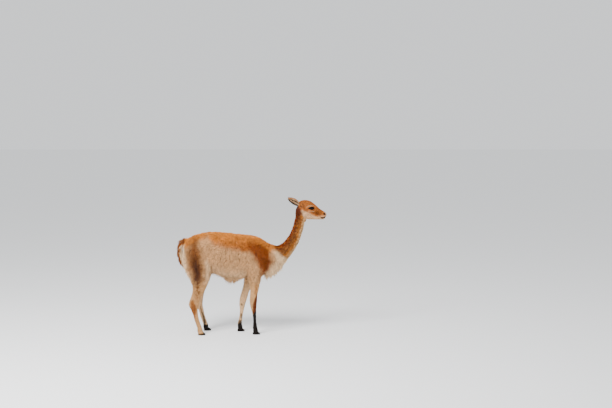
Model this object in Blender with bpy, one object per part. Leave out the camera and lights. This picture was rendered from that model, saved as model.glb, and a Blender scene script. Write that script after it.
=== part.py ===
"""A standing vicuna at life size, in metres, with +Z up and the nose towards +X.

The right side of the animal is at -Y. Every node of flesh is a loft through slices of the body. The coat
is joined to it as rounded clumps on the trunk and as tapered locks on the chest, belly, rump and tail.
"""

import math
import random
from collections import namedtuple

import bmesh
import bpy
from mathutils import Matrix, Vector
from mathutils.bvhtree import BVHTree

# General sizes
GAP = 0.0003
DISSOLVE_ANGLE = math.radians(5)
TAIL_CLEARANCE = 0.001
LOCK_SUNK = 0.011
LOCK_DROOP = 0.004
CLUMP_SUNK = 0.006
CLUMP_SIDES = 6
CLUMP_ROOT_SHARE = 0.35
EDGE_RISE = 0.25
CLUMP_SPACING = 0.077
NECK_CLEARANCE = 0.095
UNDER_CHEST_HALF_WIDTH = 0.10
UNDER_CHEST_Z = 0.58
CLUMP_TRIES = 9000
SEED = 11
LEG_SIDES = 14
TOE_SIDES = 10

# Finishes: a colour and a roughness
FLEECE = ((0.55, 0.34, 0.18), 0.95)
FAWN = ((0.48, 0.22, 0.08), 0.90)
DARK_FOOT = ((0.03, 0.02, 0.015), 0.80)
NAIL_HORN = ((0.02, 0.016, 0.013), 0.50)
EYE_BLACK = ((0.01, 0.006, 0.004), 0.08)

# Planes that part the body, and the heights at which the legs leave it
CHEST_PLANE_X = -0.105
HAUNCH_PLANE_X = -0.335
ELBOW_Z = 0.468
KNEE_Z = 0.245
STIFLE_Z = 0.497
HOCK_Z = 0.235
FETLOCK_Z = 0.066

# Head details
EYE_CENTRE = Vector((0.535, 0.0440, 1.1255))
EYE_RADIUS = 0.0200
LID_THICKNESS = 0.0034
NOSTRIL_CENTRE = Vector((0.6500, 0.0180, 1.0745))
EAR_ROOT = Vector((0.4330, 0.0350, 1.1520))
EAR_LENGTH = 0.128
EAR_DIRECTION = Vector((-0.815, 0.320, 0.490)).normalized()

# Legs: how far the left ones stand from the right ones' places, at the foot
LEFT_FORELEG_BACK = 0.158
LEFT_HINDLEG_FORWARD = 0.032
SHOULDER_SWING_Z = 0.66
HOCK_SWING_Z = 0.38

# A slice is cut by a line between two opposite points a and b of the side view, at a distance y from the
# middle, with a half width across. A taper above 0 makes the slice wider towards a.
Slice = namedtuple("Slice", "ax az bx bz half_width y taper", defaults=(0.0, 0.0))

# The trunk's core, from the rump to the root of the neck: a is on the back and b on the belly
TRUNK = [
    Slice(-0.590, 0.775, -0.591, 0.690, 0.045),
    Slice(-0.577, 0.824, -0.582, 0.635, 0.083),
    Slice(-0.520, 0.867, -0.530, 0.592, 0.117),
    Slice(-0.405, 0.897, -0.405, 0.566, 0.138),
    Slice(-0.300, 0.901, -0.305, 0.543, 0.149, 0.0, -0.04),
    Slice(-0.200, 0.893, -0.200, 0.505, 0.153, 0.0, -0.08),
    Slice(-0.100, 0.882, -0.092, 0.507, 0.148, 0.0, -0.08),
    Slice(-0.010, 0.872, 0.002, 0.526, 0.136, 0.0, -0.02),
    Slice(0.060, 0.857, 0.084, 0.532, 0.119),
    Slice(0.113, 0.829, 0.152, 0.543, 0.102),
    Slice(0.163, 0.801, 0.217, 0.575, 0.087),
    Slice(0.212, 0.788, 0.288, 0.632, 0.075),
]

# The neck, from the chest to the nape: a is on its back edge and b on its front edge
NECK = [
    Slice(0.212, 0.788, 0.288, 0.632, 0.075),
    Slice(0.258, 0.802, 0.344, 0.684, 0.068),
    Slice(0.300, 0.837, 0.385, 0.742, 0.062),
    Slice(0.332, 0.882, 0.422, 0.803, 0.057),
    Slice(0.357, 0.932, 0.448, 0.868, 0.053),
    Slice(0.378, 0.995, 0.470, 0.941, 0.051),
    Slice(0.391, 1.060, 0.483, 0.990, 0.050),
    Slice(0.403, 1.130, 0.493, 1.023, 0.052),
]

# The head above the line of the mouth, from the nape to the nose: a is on top
SKULL = [
    Slice(0.411, 1.150, 0.440, 1.080, 0.030),
    Slice(0.424, 1.181, 0.458, 1.052, 0.046),
    Slice(0.458, 1.1970, 0.486, 1.034, 0.0545, 0.0, 0.14),
    Slice(0.496, 1.1980, 0.515, 1.031, 0.0580, 0.0, 0.24),
    Slice(0.530, 1.188, 0.543, 1.033, 0.0545, 0.0, 0.30),
    Slice(0.560, 1.167, 0.569, 1.037, 0.0455, 0.0, 0.22),
    Slice(0.587, 1.144, 0.595, 1.041, 0.0375, 0.0, 0.12),
    Slice(0.612, 1.121, 0.617, 1.043, 0.0325, 0.0, 0.02),
    Slice(0.635, 1.107, 0.638, 1.042, 0.0305, 0.0, -0.08),
    Slice(0.653, 1.098, 0.656, 1.040, 0.0280, 0.0, -0.10),
    Slice(0.666, 1.088, 0.667, 1.045, 0.0215),
    Slice(0.672, 1.076, 0.672, 1.056, 0.0110),
]

# The lower jaw, from the cheek to the chin
JAW = [
    Slice(0.462, 1.078, 0.472, 1.036, 0.034),
    Slice(0.497, 1.074, 0.503, 1.0245, 0.0390, 0.0, 0.20),
    Slice(0.538, 1.068, 0.542, 1.0225, 0.0350, 0.0, 0.20),
    Slice(0.580, 1.062, 0.582, 1.0215, 0.0295, 0.0, 0.12),
    Slice(0.614, 1.060, 0.615, 1.0210, 0.0258),
    Slice(0.637, 1.058, 0.637, 1.0210, 0.0243),
    Slice(0.652, 1.055, 0.652, 1.0240, 0.0205),
    Slice(0.661, 1.050, 0.661, 1.0310, 0.0120),
]

# The right legs, from the top down: a is on the front edge and b on the back edge
FORELEG = [
    Slice(0.105, 0.800, 0.010, 0.800, 0.030, -0.070),
    Slice(0.135, 0.720, -0.020, 0.720, 0.048, -0.083),
    Slice(0.130, 0.640, -0.032, 0.640, 0.050, -0.094),
    Slice(0.106, 0.570, -0.028, 0.570, 0.044, -0.099),
    Slice(0.086, 0.513, -0.013, 0.513, 0.037, -0.098),
    Slice(0.0785, 0.460, -0.011, 0.460, 0.0325, -0.095),
    Slice(0.0710, 0.410, -0.0095, 0.410, 0.0290, -0.092),
    Slice(0.0590, 0.360, -0.0115, 0.360, 0.0265, -0.089),
    Slice(0.0550, 0.305, -0.0150, 0.305, 0.0275, -0.086),
    Slice(0.0495, 0.250, -0.0085, 0.250, 0.0235, -0.084),
    Slice(0.0475, 0.215, 0.0025, 0.215, 0.0190, -0.083),
    Slice(0.0470, 0.170, 0.0120, 0.170, 0.0162, -0.082),
    Slice(0.0475, 0.115, 0.0160, 0.115, 0.0160, -0.081),
    Slice(0.0530, 0.066, 0.0145, 0.066, 0.0200, -0.080),
]
HINDLEG = [
    Slice(-0.420, 0.840, -0.520, 0.840, 0.040, -0.055),
    Slice(-0.372, 0.770, -0.574, 0.770, 0.060, -0.080),
    Slice(-0.347, 0.700, -0.592, 0.700, 0.068, -0.092),
    Slice(-0.351, 0.620, -0.586, 0.620, 0.064, -0.098),
    Slice(-0.368, 0.550, -0.560, 0.550, 0.053, -0.101),
    Slice(-0.381, 0.492, -0.534, 0.492, 0.0445, -0.102),
    Slice(-0.404, 0.414, -0.520, 0.414, 0.0345, -0.104),
    Slice(-0.439, 0.345, -0.533, 0.345, 0.0265, -0.106),
    Slice(-0.462, 0.278, -0.556, 0.278, 0.0250, -0.108),
    Slice(-0.472, 0.225, -0.534, 0.225, 0.0205, -0.110),
    Slice(-0.468, 0.175, -0.515, 0.175, 0.0180, -0.112),
    Slice(-0.458, 0.130, -0.503, 0.130, 0.0172, -0.114),
    Slice(-0.437, 0.066, -0.4790, 0.066, 0.0200, -0.117),
]

# The tail's core, from its root to its tip: a is on the outer side
TAIL = [
    Slice(-0.582, 0.853, -0.560, 0.800, 0.020),
    Slice(-0.616, 0.833, -0.590, 0.801, 0.024),
    Slice(-0.643, 0.796, -0.614, 0.782, 0.027),
    Slice(-0.655, 0.742, -0.624, 0.740, 0.028),
    Slice(-0.650, 0.688, -0.621, 0.690, 0.024),
    Slice(-0.633, 0.640, -0.614, 0.648, 0.016),
    Slice(-0.621, 0.618, -0.613, 0.626, 0.006),
]


def make_material(name, finish):
    """A plain Principled material of a finish, which is a colour with a roughness."""
    colour, roughness = finish
    material = bpy.data.materials.new(name)
    material.use_nodes = True
    shader = material.node_tree.nodes["Principled BSDF"]
    shader.inputs["Base Color"].default_value = (*colour, 1.0)
    shader.inputs["Roughness"].default_value = roughness
    material.diffuse_color = (*colour, 1.0)
    return material


def link(mesh, name, finish=None):
    """A mesh as an object of the model's own collection, with a material of its own where it has a finish."""
    made = bpy.data.objects.new(name, mesh)
    bpy.data.collections["vicuna"].objects.link(made)
    if finish:
        mesh.materials.clear()
        mesh.materials.append(make_material(f"{name}_surface", finish))
    return made


def smooth_slices(slices, steps):
    """Slices between those given, on a smooth curve through them, with those given among them."""
    found = []
    for i in range(len(slices) - 1):
        before = slices[max(i - 1, 0)]
        start, end = slices[i], slices[i + 1]
        after = slices[min(i + 2, len(slices) - 1)]
        for step in range(steps):
            t = step / steps
            found.append(
                Slice(
                    *(
                        0.5 * (2 * q + (r - p) * t + (2 * p - 5 * q + 4 * r - s) * t**2 + (3 * q - p - 3 * r + s) * t**3)
                        for p, q, r, s in zip(before, start, end, after)
                    )
                )
            )
    return found + [slices[-1]]


def ring_of(cut, sides):
    """The points of a slice's edge."""
    front, back = Vector((cut.ax, cut.y, cut.az)), Vector((cut.bx, cut.y, cut.bz))
    middle, half = (front + back) / 2, (front - back) / 2
    points = []
    for k in range(sides):
        angle = 2 * math.pi * (k + 0.5) / sides
        across = math.cos(angle) * cut.half_width * (1 + cut.taper * math.sin(angle))
        points.append(middle + half * math.sin(angle) + Vector((0, across, 0)))
    return points


def skin_rings(rings):
    """A closed mesh through rings of as many points each, which ends in flat faces or in single points."""
    made = bmesh.new()
    rows = [[made.verts.new(point) for point in ring] for ring in rings]
    sides = max(len(row) for row in rows)
    for low, high in zip(rows, rows[1:]):
        for k in range(sides):
            after = (k + 1) % sides
            corners = [low[k % len(low)], low[after % len(low)], high[after % len(high)], high[k % len(high)]]
            made.faces.new(list(dict.fromkeys(corners)))
    for row in (rows[0], rows[-1]):
        if len(row) > 1:
            made.faces.new(row)
    bmesh.ops.recalc_face_normals(made, faces=made.faces)
    mesh = bpy.data.meshes.new("loft")
    made.to_mesh(mesh)
    made.free()
    return mesh


def loft(slices, sides, steps, start_shift=None, end_shift=None):
    """A closed mesh through slices. A shift moves the first or the last ring to leave the gap to a neighbour."""
    rings = [ring_of(cut, sides) for cut in smooth_slices(slices, steps)]
    if start_shift:
        rings[0] = [point + start_shift for point in rings[0]]
    if end_shift:
        rings[-1] = [point + end_shift for point in rings[-1]]
    return skin_rings(rings)


def slices_between(slices, top_z, bottom_z):
    """A leg's slices from one height to another, with new ones at both heights."""

    def at(z):
        for high, low in zip(slices, slices[1:]):
            if high.az >= z >= low.az:
                t = (high.az - z) / (high.az - low.az)
                return Slice(*(p + (q - p) * t for p, q in zip(high, low)))
        return slices[0] if z > slices[0].az else slices[-1]

    inner = [cut for cut in slices if top_z - 0.004 > cut.az > bottom_z + 0.004]
    return [at(top_z), *inner, at(bottom_z)]


def posed_leg(slices, side, dense):
    """A leg's slices on one side. The left legs are the right ones mirrored and moved to their own stance."""
    cuts = smooth_slices(slices, dense)
    if side == "right":
        return cuts
    return [leaned(cut, slices is FORELEG)._replace(y=-cut.y) for cut in cuts]


def leaned(cut, is_foreleg):
    """A slice of a left leg, moved along by its share of the stance."""
    if is_foreleg:
        moved = -LEFT_FORELEG_BACK * max(0.0, 1 - cut.az / SHOULDER_SWING_Z) ** 0.8
    else:
        below = (HOCK_SWING_Z - cut.az) / (HOCK_SWING_Z / 2)
        moved = LEFT_HINDLEG_FORWARD * min(1.0, max(0.0, below))
    return cut._replace(ax=cut.ax + moved, bx=cut.bx + moved)


def apply_modifiers(made):
    """Replaces an object's mesh by its evaluated one."""
    bpy.context.view_layer.update()
    graph = bpy.context.evaluated_depsgraph_get()
    mesh = bpy.data.meshes.new_from_object(made.evaluated_get(graph))
    made.modifiers.clear()
    made.data = mesh


def boolean(made, other, operation):
    """Cuts or joins an object with another object or with every object of a collection, and removes those."""
    modifier = made.modifiers.new("boolean", "BOOLEAN")
    modifier.operation = operation
    modifier.solver = "MANIFOLD"
    if isinstance(other, bpy.types.Collection):
        modifier.operand_type = "COLLECTION"
        modifier.collection = other
        used = list(other.objects)
    else:
        modifier.object = other
        used = [other]
    apply_modifiers(made)
    for spent in used:
        bpy.data.objects.remove(spent)


def cut(made, mesh, operation="DIFFERENCE"):
    """Cuts an object with a closed mesh, or keeps only what lies inside that mesh."""
    cutter = bpy.data.objects.new("cutter", mesh)
    bpy.data.collections["cutters"].objects.link(cutter)
    cutter.hide_render = True
    cutter.display_type = "WIRE"
    boolean(made, cutter, operation)


def join_all(made, meshes):
    """Joins closed meshes to an object in one union."""
    pieces = bpy.data.collections.new("pieces")
    bpy.context.scene.collection.children.link(pieces)
    for mesh in meshes:
        pieces.objects.link(bpy.data.objects.new("piece", mesh))
    boolean(made, pieces, "UNION")
    bpy.data.collections.remove(pieces)
    keep_largest(made)


def keep_largest(made):
    """Keeps only an object's largest closed surface."""
    work = bmesh.new()
    work.from_mesh(made.data)
    left, groups = set(work.faces), []
    while left:
        stack, group = [left.pop()], set()
        while stack:
            face = stack.pop()
            group.add(face)
            near = {other for edge in face.edges for other in edge.link_faces} & left
            left -= near
            stack.extend(near)
        groups.append(group)
    largest = max(groups, key=lambda group: sum(face.calc_area() for face in group))
    drop = [face for group in groups if group is not largest for face in group]
    bmesh.ops.delete(work, geom=drop, context="FACES")
    bmesh.ops.triangulate(work, faces=work.faces)
    work.to_mesh(made.data)
    work.free()


def box_mesh(low, high):
    """A box between two corners."""
    made = bmesh.new()
    bmesh.ops.create_cube(made, size=1)
    size = Vector(high) - Vector(low)
    bmesh.ops.scale(made, vec=size, verts=made.verts)
    bmesh.ops.translate(made, vec=(Vector(high) + Vector(low)) / 2, verts=made.verts)
    mesh = bpy.data.meshes.new("box")
    made.to_mesh(mesh)
    made.free()
    return mesh


def ball_mesh(centre, radii, turn=None, segments=20, rings=12):
    """An ellipsoid, turned about its centre."""
    made = bmesh.new()
    bmesh.ops.create_uvsphere(made, u_segments=segments, v_segments=rings, radius=1)
    place = Matrix.Translation(centre) @ (turn or Matrix.Identity(4)) @ Matrix.Diagonal((*radii, 1))
    bmesh.ops.transform(made, matrix=place, verts=made.verts)
    mesh = bpy.data.meshes.new("ball")
    made.to_mesh(mesh)
    made.free()
    return mesh


def mirrored(vector, side):
    """A vector of the left side, or its mirror image for the right side."""
    return Vector(vector) if side == "left" else Vector((vector[0], -vector[1], vector[2]))


# Rings of a clump: share of the length, share of the width, share of the rise
CLUMP_FORM = [(0.12, 0.62, 0.20), (0.45, 1.00, 0.80), (0.84, 0.78, 1.00)]
CLUMP_TIP_RISE = 0.45
# Rings of a lock: share of the length, share of the width, share of the thickness
LOCK_FORM = [(0.12, 0.85, 0.90), (0.45, 1.00, 1.00), (0.78, 0.55, 0.60)]


def clump_mesh(skin, root, lie, normal, length, width, rise, sunk):
    """A rounded clump of fleece that follows the skin like a tile, sunk in it below and proud of it above."""
    across = lie.cross(normal).normalized()
    onward = normal.cross(across).normalized()

    def above_skin(t, sideways, height):
        flat = root + onward * (length * (t - CLUMP_ROOT_SHARE)) + across * sideways
        nearest, outward, _, _ = skin.find_nearest(flat)
        return nearest + outward * height

    rings = [[above_skin(0.0, 0.0, -sunk)]]
    for t, wide, high in CLUMP_FORM:
        ring = []
        for k in range(CLUMP_SIDES):
            angle = 2 * math.pi * k / CLUMP_SIDES
            upward = math.sin(angle)
            height = rise * high * (EDGE_RISE + (1 - EDGE_RISE) * upward) if upward > -0.1 else -sunk
            ring.append(above_skin(t, width / 2 * wide * math.cos(angle), height))
        rings.append(ring)
    return skin_rings([*rings, [above_skin(1.0, 0.0, rise * CLUMP_TIP_RISE)]])


def lock_mesh(root, lie, normal, length, width, rise, sides=6):
    """A flat tapered lock that leaves the skin at its root, hangs along its lie and bends a little back."""
    across = lie.cross(normal).normalized()
    onward = lie.normalized()
    upward = across.cross(onward).normalized()

    def centre(t):
        height = (LOCK_SUNK + rise) * math.sin(math.pi / 2 * min(1.0, t / 0.5)) - LOCK_SUNK
        return root + onward * (length * t) + upward * (height - LOCK_DROOP * t**2)

    rings = [[centre(0.0)]]
    for t, wide, thick in LOCK_FORM:
        ring = []
        for k in range(sides):
            angle = 2 * math.pi * k / sides
            sideways = across * (width / 2 * wide * math.cos(angle))
            ring.append(centre(t) + sideways + upward * (rise * 0.75 * thick * math.sin(angle)))
        rings.append(ring)
    return skin_rings([*rings, [centre(1.0)]])


def skin_tree(made):
    """A search tree of an object's surface."""
    work = bmesh.new()
    work.from_mesh(made.data)
    tree = BVHTree.FromBMesh(work)
    work.free()
    return tree


def surface_roots(made, allowed, spacing, tries, rng):
    """Points of an object's surface with their normals, evenly apart, by trying seeded random ones in turn."""
    mesh = made.data
    mesh.calc_loop_triangles()
    corners = [[mesh.vertices[i].co.copy() for i in face.vertices] for face in mesh.loop_triangles]
    areas = [(b - a).cross(c - a).length / 2 for a, b, c in corners]
    found = []
    for a, b, c in rng.choices(corners, areas, k=tries):
        u, v = rng.random(), rng.random()
        if u + v > 1:
            u, v = 1 - u, 1 - v
        point = a + (b - a) * u + (c - a) * v
        normal = (b - a).cross(c - a).normalized()
        if allowed(point, normal) and all((point - other).length > spacing for other, _ in found):
            found.append((point, normal))
    return found


def coat_lie(point):
    """The way that the coat lies at a point of the trunk, before it is laid on the surface."""
    back_share = min(1.0, max(0.0, (point.z - 0.72) / 0.14))
    if point.x > 0.12:
        return Vector((0.10, 0, -1))
    return Vector((-0.45 - 0.9 * back_share, 0, -1 + 0.75 * back_share))


def grows_clumps(point, normal):
    """Whether clumps grow at a point: not where another coat grows, a cut passes or a leg faces the trunk."""
    lowest = STIFLE_Z + 0.068 if point.x < HAUNCH_PLANE_X else ELBOW_Z + 0.068
    neck = TRUNK[-1]
    middle = Vector(((neck.ax + neck.bx) / 2, 0, (neck.az + neck.bz) / 2))
    behind_neck = (middle - point).dot(headward(neck))
    faces_inwards = normal.y * point.y < 0
    under_chest = point.x > CHEST_PLANE_X and abs(point.y) < UNDER_CHEST_HALF_WIDTH and point.z < UNDER_CHEST_Z
    return point.z > lowest and behind_neck > NECK_CLEARANCE and not faces_inwards and not under_chest


def trunk_clumps(core, rng):
    """The fleece of the back and flanks: broad rounded clumps that overlap like tiles, low on the back."""
    meshes = []
    skin = skin_tree(core)
    for root, normal in surface_roots(core, grows_clumps, CLUMP_SPACING, CLUMP_TRIES, rng):
        on_back = min(1.0, max(0.0, (root.z - 0.70) / 0.16))
        length = (0.136 - 0.015 * on_back) * rng.uniform(0.92, 1.08)
        width = 0.118 * rng.uniform(0.92, 1.08)
        rise = (0.0190 - 0.0060 * on_back) * rng.uniform(0.85, 1.15)
        lie = coat_lie(root) + Vector((rng.uniform(-0.15, 0.15), rng.uniform(-0.12, 0.12), 0))
        sunk = CLUMP_SUNK * rng.uniform(0.8, 1.2)
        meshes.append(clump_mesh(skin, root, lie, normal, length, width, rise, sunk))
    return meshes


def hanging_locks(rng):
    """The bib of the chest and the fringe of the belly: long tapered locks that hang."""
    meshes = []
    bib_rows = [
        # height, place along, half spread across, number, length
        (0.668, 0.276, 0.045, 3, 0.080),
        (0.640, 0.268, 0.060, 4, 0.082),
        (0.606, 0.238, 0.070, 5, 0.078),
        (0.580, 0.203, 0.076, 5, 0.066),
        (0.563, 0.160, 0.066, 4, 0.056),
    ]
    for height, along, spread, count, length in bib_rows:
        for k in range(count):
            share = 2 * (k + 0.5) / count - 1
            root = Vector((along - 0.030 * share**2, spread * share, height + 0.018 * share**2))
            outward = Vector((0.75 - 0.45 * abs(share), 0.9 * share, -0.15)).normalized()
            hang = Vector((-0.16 + rng.uniform(-0.06, 0.06), 0.10 * share, -1))
            long = length * rng.uniform(0.9, 1.1)
            meshes.append(lock_mesh(root, hang, outward, long, 0.036, 0.010))
    fringe_rows = [(-0.035, 5, 0.045), (0.0, 6, 0.052), (0.035, 5, 0.045)]
    for across, count, length in fringe_rows:
        for k in range(count):
            along = -0.275 + 0.225 * (k + 0.5) / count
            root = Vector((along, across + rng.uniform(-0.006, 0.006), 0.514))
            hang = Vector((-0.35, 0.25 * across / 0.035, -1))
            outward = Vector((0.3, 1.0 if across > 0 else -1.0, 0)).normalized()
            meshes.append(lock_mesh(root, hang, outward, length, 0.042, 0.009))
    return meshes


def tail_locks(rng):
    """The brush of the tail: tapered locks down its outer side and its edges."""
    meshes = []
    cuts = smooth_slices(TAIL, 2)
    for i in range(2, len(cuts) - 3, 2):
        outer = Vector((cuts[i].ax, 0, cuts[i].az))
        inner = Vector((cuts[i].bx, 0, cuts[i].bz))
        onward = Vector((cuts[i + 1].ax, 0, cuts[i + 1].az)) - outer
        for share in (-0.75, 0.0, 0.75):
            root = outer.lerp(inner, 0.30 * abs(share)) + Vector((0, cuts[i].half_width * share, 0))
            outward = (outer - inner).normalized() * (1 - 0.6 * abs(share)) + Vector((0, share, 0))
            length = 0.070 * rng.uniform(0.9, 1.1)
            lie = onward.normalized() + Vector((0, 0.12 * share, 0))
            meshes.append(lock_mesh(root, lie, outward.normalized(), length, 0.038, 0.0085, 5))
    return meshes


def build_torso():
    """The trunk with the shoulders and haunches, its coat joined to it, parted into three nodes."""
    rng = random.Random(SEED)
    core = link(loft(TRUNK, 24, 2), "torso_core")
    limbs = []
    for side in ("right", "left"):
        for slices, cut_z in ((FORELEG, ELBOW_Z), (HINDLEG, STIFLE_Z)):
            posed = posed_leg(slices, side, 2)
            upper = slices_between(posed, slices[0].az, cut_z)
            limbs.append(loft(upper, LEG_SIDES, 1))
    join_all(core, limbs)
    join_all(core, trunk_clumps(core, rng) + hanging_locks(rng))
    beyond = box_mesh((0, -0.2, -0.13), (0.2, 0.2, 0.3))
    beyond.transform(plane_place(TRUNK[-1], -GAP / 2))
    cut(core, beyond)
    simplify(core)
    spans = [
        ("torso_haunches", -1.0, HAUNCH_PLANE_X - GAP / 2, STIFLE_Z + GAP / 2),
        ("torso_barrel", HAUNCH_PLANE_X + GAP / 2, CHEST_PLANE_X - GAP / 2, 0.2),
        ("torso_chest", CHEST_PLANE_X + GAP / 2, 1.0, ELBOW_Z + GAP / 2),
    ]
    for name, low_x, high_x, low_z in spans:
        part = link(core.data.copy(), name, FLEECE)
        cut(part, box_mesh((low_x, -0.6, low_z), (high_x, 0.6, 1.1)), "INTERSECT")
        keep_largest(part)
    bpy.data.objects.remove(core)


def simplify(made):
    """Joins neighbouring faces that are all but level with each other."""
    modifier = made.modifiers.new("dissolve", "DECIMATE")
    modifier.decimate_type = "DISSOLVE"
    modifier.angle_limit = DISSOLVE_ANGLE
    apply_modifiers(made)
    keep_largest(made)


def headward(cut):
    """The direction along the body, towards the head, in which a slice of the trunk or the neck faces."""
    return Vector((cut.az - cut.bz, 0, cut.bx - cut.ax)).normalized()


def plane_place(cut, shift):
    """The placing that turns +X to face along the body at a slice, and moves it along by a shift."""
    middle = Vector(((cut.ax + cut.bx) / 2, 0, (cut.az + cut.bz) / 2))
    turn = Vector((1, 0, 0)).rotation_difference(headward(cut)).to_matrix().to_4x4()
    return Matrix.Translation(middle + headward(cut) * shift) @ turn


def build_neck():
    """The neck in two lengths, parted half way up."""
    split = 4
    for name, cuts in (("neck_lower", NECK[: split + 1]), ("neck_upper", NECK[split:])):
        mesh = loft(cuts, 24, 3, headward(cuts[0]) * GAP / 2, -headward(cuts[-1]) * GAP / 2)
        link(mesh, name, FAWN)


def eye_turn(side):
    """The turn that points +X out of an eye, with its long axis level and its inner corner a little low."""
    outward = mirrored((0.26, 0.96, 0.08), side).normalized()
    along = Vector((1, 0, 0.06))
    along = (along - outward * along.dot(outward)).normalized()
    along *= 1 if side == "left" else -1
    return Matrix((outward, along, outward.cross(along))).transposed().to_4x4()


def build_head():
    """The head: skull and jaw, with lids, sockets, nostrils and the stubs that carry the ears."""
    head = link(loft(SKULL, 24, 2), "head", FAWN)
    nape = NECK[-1]
    throat = [
        nape,
        Slice(0.426, 1.146, 0.508, 1.040, 0.047),
        Slice(0.450, 1.152, 0.522, 1.056, 0.038),
    ]
    pieces = [loft(JAW, 16, 2), loft(throat, 24, 1, headward(nape) * GAP / 2)]
    for side in ("left", "right"):
        centre, turn = mirrored(EYE_CENTRE, side), eye_turn(side)
        lid = EYE_RADIUS + LID_THICKNESS
        pieces.append(ball_mesh(centre, (lid, lid * 1.12, lid), turn, 20, 10))
        pieces.append(ear_stub(side))
        pieces.append(nostril_wing(side))
    join_all(head, pieces)
    for side in ("left", "right"):
        centre, turn = mirrored(EYE_CENTRE, side), eye_turn(side)
        socket = EYE_RADIUS + GAP
        opening = centre + (turn @ Vector((EYE_RADIUS * 1.05, 0, 0)))
        cutters = [
            ball_mesh(centre, (socket, socket, socket), turn, 16, 10),
            ball_mesh(opening, (0.016, 0.0222, 0.0125), turn, 20, 10),
            nostril_cutter(side),
        ]
        for mesh in cutters:
            cut(head, mesh)
        eye = ball_mesh(centre, (EYE_RADIUS,) * 3, turn, 16, 10)
        link(eye, f"eye_{side}", EYE_BLACK)
    slits = [
        box_mesh((0.6610, -0.0008, 1.040), (0.70, 0.0008, 1.0640)),
        box_mesh((0.6060, -0.0500, 1.0425), (0.70, 0.0500, 1.0438)),
    ]
    for mesh in slits:
        cut(head, mesh)
    behind = box_mesh((-0.3, -0.2, -0.3), (0, 0.2, 0.09))
    behind.transform(plane_place(nape, GAP / 2))
    cut(head, behind)
    simplify(head)


def nostril_wing(side):
    """The raised rim behind a nostril."""
    centre = mirrored(NOSTRIL_CENTRE + Vector((-0.006, 0.0012, 0.0015)), side)
    turn = Matrix.Rotation(math.radians(-35), 4, "Y")
    return ball_mesh(centre, (0.0115, 0.0085, 0.0085), turn, 12, 8)


def nostril_cutter(side):
    """The slit of a nostril, longer than it is high, which runs back and up."""
    centre = mirrored(NOSTRIL_CENTRE + Vector((0.001, 0.0065, 0)), side)
    yaw = math.radians(38 if side == "right" else -38)
    turn = Matrix.Rotation(yaw, 4, "Z") @ Matrix.Rotation(math.radians(-38), 4, "Y")
    return ball_mesh(centre, (0.0092, 0.0060, 0.0030), turn, 12, 8)


def ear_frame(side):
    """The root of an ear with its directions along, across and out of its open side."""
    along = mirrored(EAR_DIRECTION, side)
    opening = mirrored((-0.10, 0.94, -0.22), side)
    opening = (opening - along * opening.dot(along)).normalized()
    return mirrored(EAR_ROOT, side), along, along.cross(opening).normalized(), opening


def ear_ring(side, distance, half_width, depth, cup, lean):
    """One section of an ear: an outer arc, and an inner arc that a cup above 0 makes hollow."""
    root, along, across, opening = ear_frame(side)
    centre = root + along * distance + opening * lean
    count = 8
    points = []
    for k in range(count + 1):
        angle = math.pi * k / count
        points.append(
            centre + across * (half_width * math.cos(angle)) - opening * (depth * math.sin(angle))
        )
    for k in range(1, count):
        angle = math.pi * (count - k) / count
        inner = 0.90 * half_width * math.cos(angle)
        points.append(centre + across * inner - opening * (depth * cup * math.sin(angle)))
    return points


def ear_stub(side):
    """The short root of an ear on the skull, from inside the head to the face that the ear meets."""
    sizes = [(-0.030, 0.0125, 0.0120), (-0.012, 0.0135, 0.0125), (0.0085, 0.0125, 0.0110)]
    return skin_rings([ear_ring(side, at, wide, deep, -1.0, 0.0) for at, wide, deep in sizes])


def build_ear(side):
    """A long pointed ear with a hollow open side."""
    sizes = [
        # share of the length, half width, depth, cup, lean
        (0.00, 0.0125, 0.0110, -1.00, 0.0000),
        (0.10, 0.0150, 0.0130, -0.35, 0.0004),
        (0.22, 0.0205, 0.0155, 0.45, 0.0010),
        (0.36, 0.0248, 0.0165, 0.70, 0.0022),
        (0.50, 0.0254, 0.0160, 0.74, 0.0034),
        (0.64, 0.0226, 0.0138, 0.72, 0.0042),
        (0.78, 0.0172, 0.0105, 0.66, 0.0046),
        (0.90, 0.0102, 0.0066, 0.50, 0.0044),
        (1.00, 0.0022, 0.0020, -0.50, 0.0036),
    ]
    start = 0.0085 + GAP
    rings = [
        ear_ring(side, start + (EAR_LENGTH - start) * share, wide, deep, cup, lean)
        for share, wide, deep, cup, lean in sizes
    ]
    link(skin_rings(rings), f"ear_{side}", FAWN)


def build_legs():
    """Each leg below the trunk: forearm and cannon, or gaskin and cannon, with plain level joints."""
    plans = [
        ("front", FORELEG, ELBOW_Z, KNEE_Z, "forearm"),
        ("hind", HINDLEG, STIFLE_Z, HOCK_Z, "gaskin"),
    ]
    down = Vector((0, 0, -GAP / 2))
    for place, slices, top_z, middle_z, upper_name in plans:
        for side in ("left", "right"):
            posed = posed_leg(slices, side, 2)
            upper = slices_between(posed, top_z, middle_z)
            lower = slices_between(posed, middle_z, FETLOCK_Z)
            link(loft(upper, LEG_SIDES, 1, down, -down), f"{upper_name}_{place}_{side}", FAWN)
            link(loft(lower, LEG_SIDES, 1, down, -down), f"cannon_{place}_{side}", FAWN)
            build_foot(place, side, lower[-1])


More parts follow.
